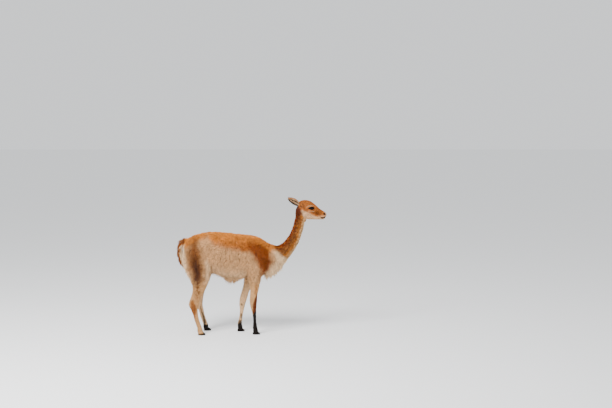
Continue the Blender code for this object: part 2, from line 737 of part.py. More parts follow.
def build_foot(place, side, fetlock):
    """A pastern with two padded toes, and a pointed nail in front of each toe."""
    middle_x = (fetlock.ax + fetlock.bx) / 2
    depth = (fetlock.ax - fetlock.bx) / 2
    pastern = [
        fetlock,
        Slice(fetlock.ax + 0.004, 0.050, fetlock.bx + 0.001, 0.050, fetlock.half_width * 1.02, fetlock.y),
        Slice(fetlock.ax + 0.008, 0.030, fetlock.bx + 0.003, 0.026, fetlock.half_width * 1.02, fetlock.y),
        Slice(fetlock.ax + 0.006, 0.018, fetlock.bx + 0.008, 0.012, fetlock.half_width * 0.90, fetlock.y),
    ]
    mesh = loft(pastern, LEG_SIDES, 1, Vector((0, 0, -GAP / 2)))
    foot = link(mesh, f"foot_{place}_{side}", DARK_FOOT)
    toes = []
    for name, turn in (("inner", -1), ("outer", 1)):
        outward = turn if side == "left" else -turn
        toe_y = fetlock.y + 0.0118 * outward
        splay = 0.10 * outward
        heel_x = middle_x - (depth if place == "front" else depth * 0.6)
        sizes = [
            # distance from the heel, height of the back, half width
            (0.000, 0.015, 0.0068),
            (0.007, 0.026, 0.0106),
            (0.020, 0.037, 0.0120),
            (0.036, 0.032, 0.0116),
            (0.050, 0.0190, 0.0088),
        ]
        rings = []
        for distance, height, half_width in sizes:
            x = heel_x + distance
            y = toe_y + splay * distance
            rings.append(toe_ring(x, y, height, half_width))
        toes.append(skin_rings(rings))
        tip_x, tip_y = heel_x + sizes[-1][0], toe_y + splay * sizes[-1][0]
        nail_rings = [
            toe_ring(tip_x + GAP, tip_y, 0.0178, 0.0080, 0.0030),
            toe_ring(tip_x + 0.007, tip_y + splay * 0.007, 0.0142, 0.0062, 0.0025),
            toe_ring(tip_x + 0.014, tip_y + splay * 0.014, 0.0075, 0.0026, 0.0030),
        ]
        link(skin_rings(nail_rings), f"nail_{place}_{side}_{name}", NAIL_HORN)
    join_all(foot, toes)


def toe_ring(x, y, height, half_width, floor=0.0):
    """A section of a toe or a nail: rounded above, and flat below where it meets its floor level."""
    points = []
    for k in range(TOE_SIDES):
        angle = 2 * math.pi * (k + 0.5) / TOE_SIDES
        z = floor + (height - floor) * (0.5 + 0.5 * math.sin(angle)) * 1.12 - 0.12 * (height - floor)
        points.append(Vector((x, y + half_width * math.cos(angle), max(z, floor))))
    return points


def build_tail():
    """The tail, which hangs close behind the rump, clear of it by more than the gap."""
    tail = link(loft(TAIL, 12, 2), "tail", FAWN)
    join_all(tail, tail_locks(random.Random(SEED + 1)))
    simplify(tail)
    cut_clear(tail, bpy.data.objects["torso_haunches"])


def cut_clear(made, neighbour):
    """Cuts from an object what lies inside a neighbour grown by a small clearance."""
    grown = neighbour.data.copy()
    normals = [vertex.normal.copy() for vertex in grown.vertices]
    for vertex, normal in zip(grown.vertices, normals):
        vertex.co += normal * TAIL_CLEARANCE
    cut(made, grown)
    keep_largest(made)


def place_origin():
    """Puts everything under one empty, so that the origin is at the floor under the middle of the model."""
    bpy.context.view_layer.update()
    parts = [o for o in bpy.data.collections["vicuna"].objects if o.type == "MESH"]
    corners = [o.matrix_world @ v.co for o in parts for v in o.data.vertices]
    middle_x = (min(p.x for p in corners) + max(p.x for p in corners)) / 2
    middle_y = (min(p.y for p in corners) + max(p.y for p in corners)) / 2
    holder = bpy.data.objects.new("vicuna_origin", None)
    bpy.data.collections["vicuna"].objects.link(holder)
    holder.location = (-middle_x, -middle_y, 0)
    for part in parts:
        part.parent = holder


def shade(parts):
    """Shades rounded surfaces smooth and keeps edges sharp."""
    for part in parts:
        part.data.shade_smooth()
        part.data.set_sharp_from_angle(angle=math.radians(50))


def main():
    for old in list(bpy.data.objects):
        bpy.data.objects.remove(old)
    for name in ("vicuna", "cutters"):
        bpy.context.scene.collection.children.link(bpy.data.collections.new(name))
    build_torso()
    build_neck()
    build_head()
    for side in ("left", "right"):
        build_ear(side)
    build_legs()
    build_tail()
    shade([o for o in bpy.data.collections["vicuna"].objects if o.type == "MESH"])
    place_origin()


main()
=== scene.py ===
"""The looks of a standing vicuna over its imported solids: one skin, its coat in tufts, the eyes and the nails.

Everything is worked out in the animal's own frame, in metres, with the nose towards +X, the animal's left
towards +Y and the floor at 0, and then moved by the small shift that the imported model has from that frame.
Where two numbers stand in brackets with no other word, they are the low and the high end of a range.
"""

import math
from collections import namedtuple

import bmesh
import bpy
import numpy as np
from mathutils import Matrix, Vector
from mathutils.bvhtree import BVHTree
from mathutils.geometry import barycentric_transform
from mathutils.kdtree import KDTree

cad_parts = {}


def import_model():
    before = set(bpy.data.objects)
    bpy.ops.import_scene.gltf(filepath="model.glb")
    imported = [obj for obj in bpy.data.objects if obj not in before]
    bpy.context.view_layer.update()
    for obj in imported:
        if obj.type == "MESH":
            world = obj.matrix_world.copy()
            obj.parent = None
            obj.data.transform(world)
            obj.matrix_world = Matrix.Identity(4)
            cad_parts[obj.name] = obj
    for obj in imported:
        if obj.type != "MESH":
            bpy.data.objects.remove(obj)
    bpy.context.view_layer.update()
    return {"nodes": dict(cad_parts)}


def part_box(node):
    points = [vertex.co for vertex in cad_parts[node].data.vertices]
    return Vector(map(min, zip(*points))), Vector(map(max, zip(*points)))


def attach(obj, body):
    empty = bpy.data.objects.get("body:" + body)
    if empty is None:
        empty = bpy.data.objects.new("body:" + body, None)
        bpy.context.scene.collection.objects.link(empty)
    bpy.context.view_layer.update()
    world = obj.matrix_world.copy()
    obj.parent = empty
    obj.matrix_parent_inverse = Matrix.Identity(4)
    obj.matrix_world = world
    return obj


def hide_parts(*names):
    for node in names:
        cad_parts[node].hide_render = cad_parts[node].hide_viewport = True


SEED = 23

# How finely the skin is made, how often it is smoothed, and how deep it lies under the coat's outer face
BODY_VOXEL = 0.0042
BODY_SMOOTHING = 6
HEAD_VOXEL = 0.0015
HEAD_SOFTENING = 40
SEAM_SOFTENING = 14
TRUNK_SOFTENING = 60
TRUNK_DEPTH = 0.001
NECK_DEPTH = 0.0090
THROAT_DEPTH = 0.0085
HEAD_DEPTH = 0.0030
LEG_DEPTH = 0.0035
FETLOCK_DEPTH = 0.0022
PASTERN_DEPTH = 0.0018
TAIL_DEPTH = 0.0040
LEAST_HALF_WIDTH = 0.002

# Where those depths change: heights on a leg, and places along the trunk, the neck and the throat
LEG_SKIN_TOP_Z = 0.54
LEG_SKIN_FADE = 0.08
FETLOCK_Z = 0.10
NECKWARD_X = 0.03
NECKWARD_FADE = 0.18
NECK_DIVE = 0.12
THROAT_X = 0.487
THROAT_FADE = 0.004

# Where and how strongly the joined body is smoothed once more
SOFTENING = 0.9
SOFT_TRUNK_Z = (0.42, 0.56)
SOFT_TRUNK_BACKWARD = (0.56, 0.60)
SEAM_PLACE = -0.012
SEAM_BREADTH = 0.016

# The eyes, in the head and in their own frames, where +X points out and +Y lies along the lids
EYE_CENTRE = Vector((0.535, 0.0440, 1.1255))
EYE_RADIUS = 0.0200
EYE_OUTWARD = (0.26, 0.96, 0.08)
EYE_ALONG = (1, 0, 0.06)
LID_THICKNESS = 0.0030
LID_LENGTH_SHARE = 1.12
LID_OPENING = (0.016, 0.0232, 0.0134)
LID_OPENING_PLACE = 1.05
SOCKET_CLEARANCE = 0.0004

# The ears
EAR_ROOT = Vector((0.4330, 0.0350, 1.1520))
EAR_LENGTH = 0.128
EAR_SKIN_SHARE = 0.985
EAR_INNER_SHARE = 0.90
EAR_DIRECTION = Vector((-0.815, 0.320, 0.490)).normalized()
EAR_OPENING = (-0.10, 0.94, -0.22)
EAR_STEPS = 5

# The nose, with the rim and the hollow of each nostril
NOSE_TIP_X = 0.672
NOSTRIL_CENTRE = Vector((0.6500, 0.0180, 1.0745))
NOSTRIL_RIM_SHIFT = Vector((-0.006, 0.0002, 0.0015))
NOSTRIL_RIM_RADII = (0.0110, 0.0078, 0.0080)
NOSTRIL_RIM_PITCH = math.radians(-35)
NOSTRIL_SHIFT = Vector((0.001, 0.0050, 0))
NOSTRIL_RADII = (0.0098, 0.0064, 0.0036)
NOSTRIL_PITCH = math.radians(-38)
NOSTRIL_YAW = math.radians(38)

# The left legs' stance, as a move from the right legs' places
LEFT_FORELEG_BACK = 0.158
LEFT_HINDLEG_FORWARD = 0.032
SHOULDER_SWING_Z = 0.66
HOCK_SWING_Z = 0.38
SWING_POWER = 0.8

# A slice is cut by a line between two opposite points a and b of the side view, at a distance y from the
# middle, with a half width across. A taper above 0 makes the slice wider towards a.
Slice = namedtuple("Slice", "ax az bx bz half_width y taper", defaults=(0.0, 0.0))

TRUNK = [
    Slice(-0.590, 0.775, -0.591, 0.690, 0.045),
    Slice(-0.577, 0.824, -0.582, 0.635, 0.083),
    Slice(-0.520, 0.867, -0.530, 0.592, 0.117),
    Slice(-0.405, 0.897, -0.405, 0.566, 0.138),
    Slice(-0.300, 0.901, -0.305, 0.543, 0.149, 0.0, -0.04),
    Slice(-0.200, 0.893, -0.200, 0.505, 0.153, 0.0, -0.08),
    Slice(-0.100, 0.882, -0.092, 0.507, 0.148, 0.0, -0.08),
    Slice(-0.010, 0.872, 0.002, 0.526, 0.136, 0.0, -0.02),
    Slice(0.060, 0.857, 0.084, 0.532, 0.119),
    Slice(0.113, 0.829, 0.152, 0.543, 0.102),
    Slice(0.163, 0.801, 0.217, 0.575, 0.087),
    Slice(0.212, 0.788, 0.288, 0.632, 0.075),
]
NECK = [
    Slice(0.212, 0.788, 0.288, 0.632, 0.075),
    Slice(0.258, 0.802, 0.344, 0.684, 0.068),
    Slice(0.300, 0.837, 0.385, 0.742, 0.062),
    Slice(0.332, 0.882, 0.422, 0.803, 0.057),
    Slice(0.357, 0.932, 0.448, 0.868, 0.053),
    Slice(0.378, 0.995, 0.470, 0.941, 0.051),
    Slice(0.391, 1.060, 0.483, 0.990, 0.050),
    Slice(0.403, 1.130, 0.493, 1.023, 0.052),
]
SKULL = [
    Slice(0.411, 1.150, 0.440, 1.080, 0.030),
    Slice(0.424, 1.181, 0.458, 1.052, 0.046),
    Slice(0.458, 1.1970, 0.486, 1.034, 0.0545, 0.0, 0.14),
    Slice(0.496, 1.1980, 0.515, 1.031, 0.0580, 0.0, 0.24),
    Slice(0.530, 1.188, 0.543, 1.033, 0.0545, 0.0, 0.30),
    Slice(0.560, 1.167, 0.569, 1.037, 0.0455, 0.0, 0.22),
    Slice(0.587, 1.144, 0.595, 1.041, 0.0375, 0.0, 0.12),
    Slice(0.612, 1.121, 0.617, 1.043, 0.0325, 0.0, 0.02),
    Slice(0.635, 1.107, 0.638, 1.042, 0.0305, 0.0, -0.08),
    Slice(0.653, 1.098, 0.656, 1.040, 0.0280, 0.0, -0.10),
    Slice(0.666, 1.088, 0.667, 1.045, 0.0215),
    Slice(0.672, 1.076, 0.672, 1.056, 0.0110),
]
JAW = [
    Slice(0.462, 1.078, 0.472, 1.036, 0.034),
    Slice(0.497, 1.074, 0.503, 1.0245, 0.0390, 0.0, 0.20),
    Slice(0.538, 1.068, 0.542, 1.0225, 0.0350, 0.0, 0.20),
    Slice(0.580, 1.062, 0.582, 1.0215, 0.0295, 0.0, 0.12),
    Slice(0.614, 1.060, 0.615, 1.0210, 0.0258),
    Slice(0.637, 1.058, 0.637, 1.0210, 0.0243),
    Slice(0.652, 1.055, 0.652, 1.0240, 0.0205),
    Slice(0.661, 1.050, 0.661, 1.0310, 0.0120),
]
FORELEG = [
    Slice(0.105, 0.800, 0.010, 0.800, 0.030, -0.070),
    Slice(0.135, 0.720, -0.020, 0.720, 0.048, -0.083),
    Slice(0.130, 0.640, -0.032, 0.640, 0.050, -0.094),
    Slice(0.106, 0.570, -0.028, 0.570, 0.044, -0.099),
    Slice(0.086, 0.513, -0.013, 0.513, 0.037, -0.098),
    Slice(0.0785, 0.460, -0.011, 0.460, 0.0325, -0.095),
    Slice(0.0710, 0.410, -0.0095, 0.410, 0.0290, -0.092),
    Slice(0.0590, 0.360, -0.0115, 0.360, 0.0265, -0.089),
    Slice(0.0550, 0.305, -0.0150, 0.305, 0.0275, -0.086),
    Slice(0.0495, 0.250, -0.0085, 0.250, 0.0235, -0.084),
    Slice(0.0475, 0.215, 0.0025, 0.215, 0.0190, -0.083),
    Slice(0.0470, 0.170, 0.0120, 0.170, 0.0162, -0.082),
    Slice(0.0475, 0.115, 0.0160, 0.115, 0.0160, -0.081),
    Slice(0.0530, 0.066, 0.0145, 0.066, 0.0200, -0.080),
]
HINDLEG = [
    Slice(-0.420, 0.840, -0.520, 0.840, 0.040, -0.055),
    Slice(-0.372, 0.770, -0.574, 0.770, 0.060, -0.080),
    Slice(-0.347, 0.700, -0.592, 0.700, 0.068, -0.092),
    Slice(-0.351, 0.620, -0.586, 0.620, 0.064, -0.098),
    Slice(-0.368, 0.550, -0.560, 0.550, 0.053, -0.101),
    Slice(-0.381, 0.492, -0.534, 0.492, 0.0445, -0.102),
    Slice(-0.404, 0.414, -0.520, 0.414, 0.0345, -0.104),
    Slice(-0.439, 0.345, -0.533, 0.345, 0.0265, -0.106),
    Slice(-0.462, 0.278, -0.556, 0.278, 0.0250, -0.108),
    Slice(-0.472, 0.225, -0.534, 0.225, 0.0205, -0.110),
    Slice(-0.468, 0.175, -0.515, 0.175, 0.0180, -0.112),
    Slice(-0.458, 0.130, -0.503, 0.130, 0.0172, -0.114),
    Slice(-0.437, 0.066, -0.4790, 0.066, 0.0200, -0.117),
]
TAIL = [
    Slice(-0.545, 0.848, -0.530, 0.806, 0.022),
    Slice(-0.582, 0.853, -0.560, 0.800, 0.022),
    Slice(-0.616, 0.833, -0.590, 0.801, 0.024),
    Slice(-0.643, 0.796, -0.614, 0.782, 0.027),
    Slice(-0.655, 0.742, -0.624, 0.740, 0.028),
    Slice(-0.650, 0.688, -0.621, 0.690, 0.024),
    Slice(-0.633, 0.640, -0.614, 0.648, 0.016),
    Slice(-0.621, 0.618, -0.613, 0.626, 0.006),
]
THROAT = [
    NECK[-2],
    NECK[-1],
    Slice(0.426, 1.146, 0.508, 1.040, 0.047),
    Slice(0.450, 1.152, 0.522, 1.056, 0.038),
]
NECK_ROOT = TRUNK[-1]
NAPE = NECK[-1]

# A pastern's sections under the fetlock: how far its front lies ahead of the fetlock's, with its height, the
# same for its back, and its share of the fetlock's width
PASTERN_SIZES = [
    (0.004, 0.050, 0.001, 0.050, 1.02),
    (0.008, 0.030, 0.003, 0.026, 1.02),
    (0.006, 0.018, 0.008, 0.012, 0.90),
]

# A toe's sections: distance from the heel, height of the back, half width
TOE_SIZES = [
    (0.000, 0.015, 0.0068),
    (0.007, 0.026, 0.0106),
    (0.020, 0.036, 0.0118),
    (0.036, 0.031, 0.0112),
    (0.050, 0.0185, 0.0086),
]
TOE_APART = 0.0118
TOE_SPLAY = 0.10
TOE_SIDES = 24
TOE_STRETCH = 1.12
TOE_SINK = 0.12
SOLE_LIFT = 0.0003
HIND_HEEL_SHARE = 0.6

# A nail's sections: distance beyond the toe's end, height of the back, half width, height of the sole
NAIL_SIZES = [
    (-0.0040, 0.0150, 0.0066, 0.0042),
    (0.0003, 0.0182, 0.0082, 0.0026),
    (0.0040, 0.0170, 0.0076, 0.0020),
    (0.0080, 0.0142, 0.0060, 0.0020),
    (0.0115, 0.0108, 0.0040, 0.0024),
    (0.0138, 0.0076, 0.0018, 0.0032),
]

# An ear's sections: share of the length, half width, depth, cup, lean
EAR_SIZES = [
    (-0.25, 0.0115, 0.0110, -1.00, 0.0000),
    (0.00, 0.0122, 0.0105, -0.90, 0.0000),
    (0.10, 0.0145, 0.0125, -0.20, 0.0004),
    (0.22, 0.0198, 0.0150, 0.45, 0.0010),
    (0.36, 0.0240, 0.0160, 0.70, 0.0022),
    (0.50, 0.0246, 0.0154, 0.74, 0.0034),
    (0.64, 0.0218, 0.0132, 0.72, 0.0042),
    (0.78, 0.0165, 0.0100, 0.66, 0.0046),
    (0.90, 0.0096, 0.0060, 0.50, 0.0044),
    (1.00, 0.0015, 0.0012, -0.50, 0.0036),
]

# Swellings and hollows of the face: centre with its distance from the middle, reach in x, y and z, and height
FACE_FORMS = [
    ((0.520, 0.046, 1.1540), (0.020, 0.020, 0.0075), 0.0026),
    ((0.548, 0.044, 1.0985), (0.026, 0.020, 0.0070), 0.0022),
    ((0.494, 0.050, 1.0620), (0.026, 0.030, 0.0260), 0.0028),
    ((0.580, 0.034, 1.1130), (0.016, 0.020, 0.0100), -0.0026),
    ((0.596, 0.032, 1.0700), (0.024, 0.020, 0.0140), -0.0024),
    ((0.648, 0.024, 1.0550), (0.013, 0.020, 0.0080), 0.0022),
    ((0.648, 0.010, 1.0270), (0.012, 0.014, 0.0080), 0.0014),
    ((0.562, 0.036, 1.1180), (0.007, 0.020, 0.0030), -0.0014),
    ((0.630, 0.010, 1.1080), (0.020, 0.008, 0.0100), 0.0010),
]

# The mouth: its line, which rises a little behind a bend, its groove, the lips, and the upper lip's split.
# A groove and a swelling have a depth or a height, and a breadth.
MOUTH_Z = 1.0432
MOUTH_TOP_Z = 1.07
MOUTH_BEND_X = 0.640
MOUTH_RISE = 0.10
MOUTH_CORNER_X = (0.607, 0.617)
MOUTH_GROOVE = (0.0034, 0.0018)
LIP_SWELLING = (0.0013, 0.0026)
LIP_HEIGHTS = (-0.0045, 0.0045)
LIP_BACK_X = (0.612, 0.638)
LIP_FRONT_X = (0.648, 0.664)
LIP_BREADTHS = (0.003, 0.010)
LIP_FRONT_THINNING = 0.60
LIP_LOWER_EDGE = (-0.0025, 0.0030)
LIP_UPPER_EDGE = (0.0010, 0.0032)
SPLIT_X = (0.652, 0.660)
SPLIT_FOOT_Z = (1.043, 1.046)
SPLIT_TOP_Z = (1.062, 1.068)
SPLIT_GROOVE = (0.0020, 0.0016)

NOISE_TABLE = 4096
NOISE_START = 517.3
NOISE_KEYS = (73856093, 19349663, 83492791)


def clamped(value):
    """A number held between 0 and 1."""
    return min(1.0, max(0.0, value))


def ramp(value, low, high):
    """0 below low, 1 above high and a smooth rise between them."""
    share = np.clip((np.asarray(value, float) - low) / (high - low), 0.0, 1.0)
    return share * share * (3 - 2 * share)


def bell(value, breadth):
    """1 at 0, with a smooth fall to both sides."""
    return np.exp(-((value / breadth) ** 2))


def unit(vectors):
    """Vectors at length 1."""
    return vectors / np.maximum(np.linalg.norm(vectors, axis=-1, keepdims=True), 1e-9)


def mix(first, second, share):
    """Rows between the first and the second ones, by a share for each row."""
    share = np.asarray(share)[..., None]
    return first * (1 - share) + second * share


def noise(points, size, seed=0):
    """Smooth random values from -1 to 1 over space, with lumps of about a size."""
    table = np.random.default_rng(SEED + seed).random(NOISE_TABLE).astype(np.float32) * 2 - 1
    scaled = points / size + NOISE_START
    cell = np.floor(scaled).astype(np.int64)
    share = scaled - cell
    share = share * share * (3 - 2 * share)
    total = np.zeros(len(points))
    for corner in np.ndindex(2, 2, 2):
        key_x, key_y, key_z = ((cell + corner) * NOISE_KEYS).T
        weight = np.ones(len(points))
        for axis, side in enumerate(corner):
            weight *= share[:, axis] if side else 1 - share[:, axis]
        total += weight * table[(key_x ^ key_y ^ key_z) & (NOISE_TABLE - 1)]
    return total


def as_left(points, vectors):
    """Vectors at points, mirrored to the left side where the points lie on the right one."""
    turned = vectors.copy()
    turned[points[:, 1] < 0, 1] *= -1
    return turned


def path_place(points, path):
    """How far points lie from a path, and the path's direction where it is nearest."""
    path = np.asarray(path, float)
    best = np.full(len(points), np.inf)
    direction = np.zeros((len(points), 3))
    for start, end in zip(path, path[1:]):
        along = end - start
        t = np.clip((points - start) @ along / (along @ along), 0, 1)
        distance = np.linalg.norm(points - start - t[:, None] * along, axis=1)
        nearer = distance < best
        best = np.where(nearer, distance, best)
        direction[nearer] = along / np.linalg.norm(along)
    return best, direction


def beyond(cut, points):
    """How far points lie beyond the plane of a slice of the neck, towards the head."""
    middle = np.array(((cut.ax + cut.bx) / 2, 0, (cut.az + cut.bz) / 2))
    onward = unit(np.array((cut.az - cut.bz, 0, cut.bx - cut.ax)))
    return (points - middle) @ onward


def middles(slices):
    """The points half way along each slice."""
    return [((cut.ax + cut.bx) / 2, cut.y, (cut.az + cut.bz) / 2) for cut in slices]


def curve(p, q, r, s, t):
    """A value on a smooth curve through four, at a share t of the way from the second to the third."""
    return 0.5 * (2 * q + (r - p) * t + (2 * p - 5 * q + 4 * r - s) * t**2 + (3 * q - p - 3 * r + s) * t**3)


def smooth_rows(rows, steps):
    """Rows of numbers between those given, on a smooth curve through them, with those given among them."""
    last = len(rows) - 1
    found = []
    for i in range(last):
        near = [rows[min(max(i + offset, 0), last)] for offset in (-1, 0, 1, 2)]
        found += [[curve(*values, step / steps) for values in zip(*near)] for step in range(steps)]
    return [*found, rows[-1]]


def smooth_slices(slices, steps):
    """Slices between those given, on a smooth curve through them, with those given among them."""
    return [Slice(*row) for row in smooth_rows(slices, steps)]


def ring_of(cut, sides):
    """The points of a slice's edge."""
    front, back = Vector((cut.ax, cut.y, cut.az)), Vector((cut.bx, cut.y, cut.bz))
    middle, half = (front + back) / 2, (front - back) / 2
    points = []
    for k in range(sides):
        angle = 2 * math.pi * (k + 0.5) / sides
        across = math.cos(angle) * cut.half_width * (1 + cut.taper * math.sin(angle))
        points.append(middle + half * math.sin(angle) + Vector((0, across, 0)))
    return points


def shrunk(cut, depth):
    """A slice that lies inside another by a depth all round."""
    toward = Vector((cut.bx - cut.ax, cut.bz - cut.az)).normalized() * depth
    return cut._replace(
        ax=cut.ax + toward.x,
        az=cut.az + toward.y,
        bx=cut.bx - toward.x,
        bz=cut.bz - toward.y,
        half_width=max(cut.half_width - depth, LEAST_HALF_WIDTH),
    )


def skin_rings(rings):
    """A closed mesh through rings of as many points each, with a flat face at either end."""
    made = bmesh.new()
    rows = [[made.verts.new(point) for point in ring] for ring in rings]
    sides = len(rows[0])
    for low, high in zip(rows, rows[1:]):
        for k in range(sides):
            after = (k + 1) % sides
            made.faces.new((low[k], low[after], high[after], high[k]))
    for row in (rows[0], rows[-1]):
        made.faces.new(row)
    bmesh.ops.recalc_face_normals(made, faces=made.faces)
    mesh = bpy.data.meshes.new("loft")
    made.to_mesh(mesh)
    made.free()
    return mesh


def loft(slices, sides, steps, depth):
    """A closed mesh through slices, inside them by a depth, which may be a function of a slice."""
    rings = []
    for cut in smooth_slices(slices, steps):
        inwards = depth(cut) if callable(depth) else depth
        rings.append(ring_of(shrunk(cut, inwards), sides))
    return skin_rings(rings)


def ball_mesh(centre, radii, turn=None, segments=32, rings=20):
    """An ellipsoid, turned about its centre."""
    made = bmesh.new()
    bmesh.ops.create_uvsphere(made, u_segments=segments, v_segments=rings, radius=1)
    place = Matrix.Translation(centre) @ (turn or Matrix.Identity(4)) @ Matrix.Diagonal((*radii, 1))
    bmesh.ops.transform(made, matrix=place, verts=made.verts)
    mesh = bpy.data.meshes.new("ball")
    made.to_mesh(mesh)
    made.free()
    return mesh


def joined(meshes):
    """Several meshes as one, with no change to their shapes."""
    work = bmesh.new()
    for mesh in meshes:
        work.from_mesh(mesh)
    made = bpy.data.meshes.new("joined")
    work.to_mesh(made)
    work.free()
    return made


def linked(mesh, name):
    """A mesh as an object of the scene."""
    made = bpy.data.objects.new(name, mesh)
    bpy.context.scene.collection.objects.link(made)
    return made


def applied(made):
    """An object's mesh with its modifiers applied. The object is removed."""
    bpy.context.view_layer.update()
    graph = bpy.context.evaluated_depsgraph_get()
    mesh = bpy.data.meshes.new_from_object(made.evaluated_get(graph))
    bpy.data.objects.remove(made)
    return mesh


def remeshed(mesh, voxel, rounds):
    """The outer surface of overlapping closed meshes, in even faces, and smoothed by some rounds."""
    work = linked(mesh, "work")
    modifier = work.modifiers.new("remesh", "REMESH")
    modifier.mode = "VOXEL"
    modifier.voxel_size = voxel
    smooth = work.modifiers.new("smooth", "SMOOTH")
    smooth.iterations = rounds
    return applied(work)


def combined(mesh, others, operation):
    """A mesh joined with others, or cut by them, one after the other."""
    for other in others:
        work, tool = linked(mesh, "work"), linked(other, "tool")
        modifier = work.modifiers.new("combine", "BOOLEAN")
        modifier.operation = operation
        modifier.solver = "MANIFOLD"
        modifier.object = tool
        mesh = applied(work)
        bpy.data.objects.remove(tool)
    return mesh


def mesh_points(mesh):
    """A mesh's points and normals as arrays."""
    points = np.empty(len(mesh.vertices) * 3, np.float32)
    mesh.vertices.foreach_get("co", points)
    normals = np.empty(len(mesh.vertices) * 3, np.float32)
    mesh.vertex_normals.foreach_get("vector", normals)
    return points.reshape(-1, 3).astype(float), normals.reshape(-1, 3).astype(float)


def set_points(mesh, points):
    """Moves a mesh's points."""
    mesh.vertices.foreach_set("co", points.astype(np.float32).ravel())
    mesh.update()


def relaxed(mesh, strength, rounds):
    """Smooths a mesh's points, each by its own strength from 0 to 1."""
    points, _ = mesh_points(mesh)
    edges = np.empty(len(mesh.edges) * 2, np.int32)
    mesh.edges.foreach_get("vertices", edges)
    first, second = edges.reshape(-1, 2).T
    count = np.maximum(np.bincount(np.concatenate([first, second]), minlength=len(points)), 1)
    for _ in range(rounds):
        total = np.zeros_like(points)
        for axis in range(3):
            total[:, axis] = np.bincount(first, points[second, axis], len(points))
            total[:, axis] += np.bincount(second, points[first, axis], len(points))
        points = mix(points, total / count[:, None], strength)
    set_points(mesh, points)


def mirrored(vector, side):
    """A vector of the left side, or its mirror image for the right side."""
    return Vector(vector) if side == "left" else Vector((vector[0], -vector[1], vector[2]))


def leaned(cut, is_foreleg):
    """A slice of a left leg, moved along by its share of the stance."""
    if is_foreleg:
        moved = -LEFT_FORELEG_BACK * max(0.0, 1 - cut.az / SHOULDER_SWING_Z) ** SWING_POWER
    else:
        moved = LEFT_HINDLEG_FORWARD * clamped((HOCK_SWING_Z - cut.az) / (HOCK_SWING_Z / 2))
    return cut._replace(ax=cut.ax + moved, bx=cut.bx + moved)


def posed_leg(slices, side):
    """A leg's slices on one side, with the stance of the left legs."""
    cuts = smooth_slices(slices, steps=3)
    if side == "right":
        return cuts
    return [leaned(cut, slices is FORELEG)._replace(y=-cut.y) for cut in cuts]


def leg_depth(cut):
    """How deep the skin of a leg lies: nothing in the trunk, where its coat stands out beyond the solids."""
    if cut.az <= FETLOCK_Z:
        return FETLOCK_DEPTH
    return LEG_DEPTH * clamped((LEG_SKIN_TOP_Z - cut.az) / LEG_SKIN_FADE)


def trunk_depth(cut):
    """How deep the skin of the trunk lies under its core: deeper towards the neck, whose coat has no core."""
    return TRUNK_DEPTH + (NECK_DEPTH - TRUNK_DEPTH) * clamped((cut.ax - NECKWARD_X) / NECKWARD_FADE)


def neck_depth(cut):
    """How deep the skin of the neck lies: deepest at its first ring, which lies inside the trunk."""
    return NECK_DEPTH + NECK_DIVE * max(0.0, NECK_ROOT.ax - cut.ax)


def throat_depth(cut):
    """How deep the skin of the throat lies: as deep as the neck's where it leaves the neck."""
    return HEAD_DEPTH + THROAT_DEPTH * clamped((THROAT_X - cut.bx) / THROAT_FADE)


def toe_place(place, side, fetlock, turn, distance):
    """Where a section of a toe lies along and across. Turn is -1 for the inner toe, 1 for the outer one."""
    middle_x = (fetlock.ax + fetlock.bx) / 2
    depth = (fetlock.ax - fetlock.bx) / 2
    outward = turn if side == "left" else -turn
    heel_x = middle_x - (depth if place == "front" else depth * HIND_HEEL_SHARE)
    return heel_x + distance, fetlock.y + (TOE_APART + TOE_SPLAY * distance) * outward


def toe_ring(x, y, height, half_width, floor=0.0):
    """A section of a toe or a nail: rounded above, and flat below where it meets its floor level."""
    points = []
    tall = height - floor
    for k in range(TOE_SIDES):
        angle = 2 * math.pi * (k + 0.5) / TOE_SIDES
        z = floor + tall * (0.5 + 0.5 * math.sin(angle)) * TOE_STRETCH - TOE_SINK * tall
        points.append(Vector((x, y + half_width * math.cos(angle), max(z, floor + SOLE_LIFT))))
    return points


def foot_meshes(place, side, fetlock):
    """A pastern with its two toes."""
    pastern = [fetlock]
    for front, front_z, back, back_z, wide in PASTERN_SIZES:
        front_x, back_x = fetlock.ax + front, fetlock.bx + back
        pastern.append(Slice(front_x, front_z, back_x, back_z, fetlock.half_width * wide, fetlock.y))
    meshes = [loft(pastern, sides=24, steps=3, depth=PASTERN_DEPTH)]
    for turn in (-1, 1):
        rings = []
        for distance, height, half_width in TOE_SIZES:
            x, y = toe_place(place, side, fetlock, turn, distance)
            rings.append(toe_ring(x, y, height, half_width))
        meshes.append(skin_rings(rings))
    return meshes


def legs_and_feet():
    """Closed meshes of the four legs with their feet, and the last slice of each leg for its nails."""
    meshes, ends = [], []
    for place, slices in (("front", FORELEG), ("hind", HINDLEG)):
        for side in ("left", "right"):
            cuts = posed_leg(slices, side)
            meshes.append(loft(cuts, sides=32, steps=1, depth=leg_depth))
            meshes.extend(foot_meshes(place, side, cuts[-1]))
            ends.append((place, side, cuts[-1]))
    return meshes, ends


def eye_turn(side):
    """The turn from an eye's own frame: +X points out of the eye, and +Z points down on both sides."""
    outward = mirrored(EYE_OUTWARD, side).normalized()
    along = Vector(EYE_ALONG)
    along = (along - outward * along.dot(outward)).normalized()
    along *= 1 if side == "left" else -1
    return Matrix((outward, along, outward.cross(along))).transposed().to_4x4()


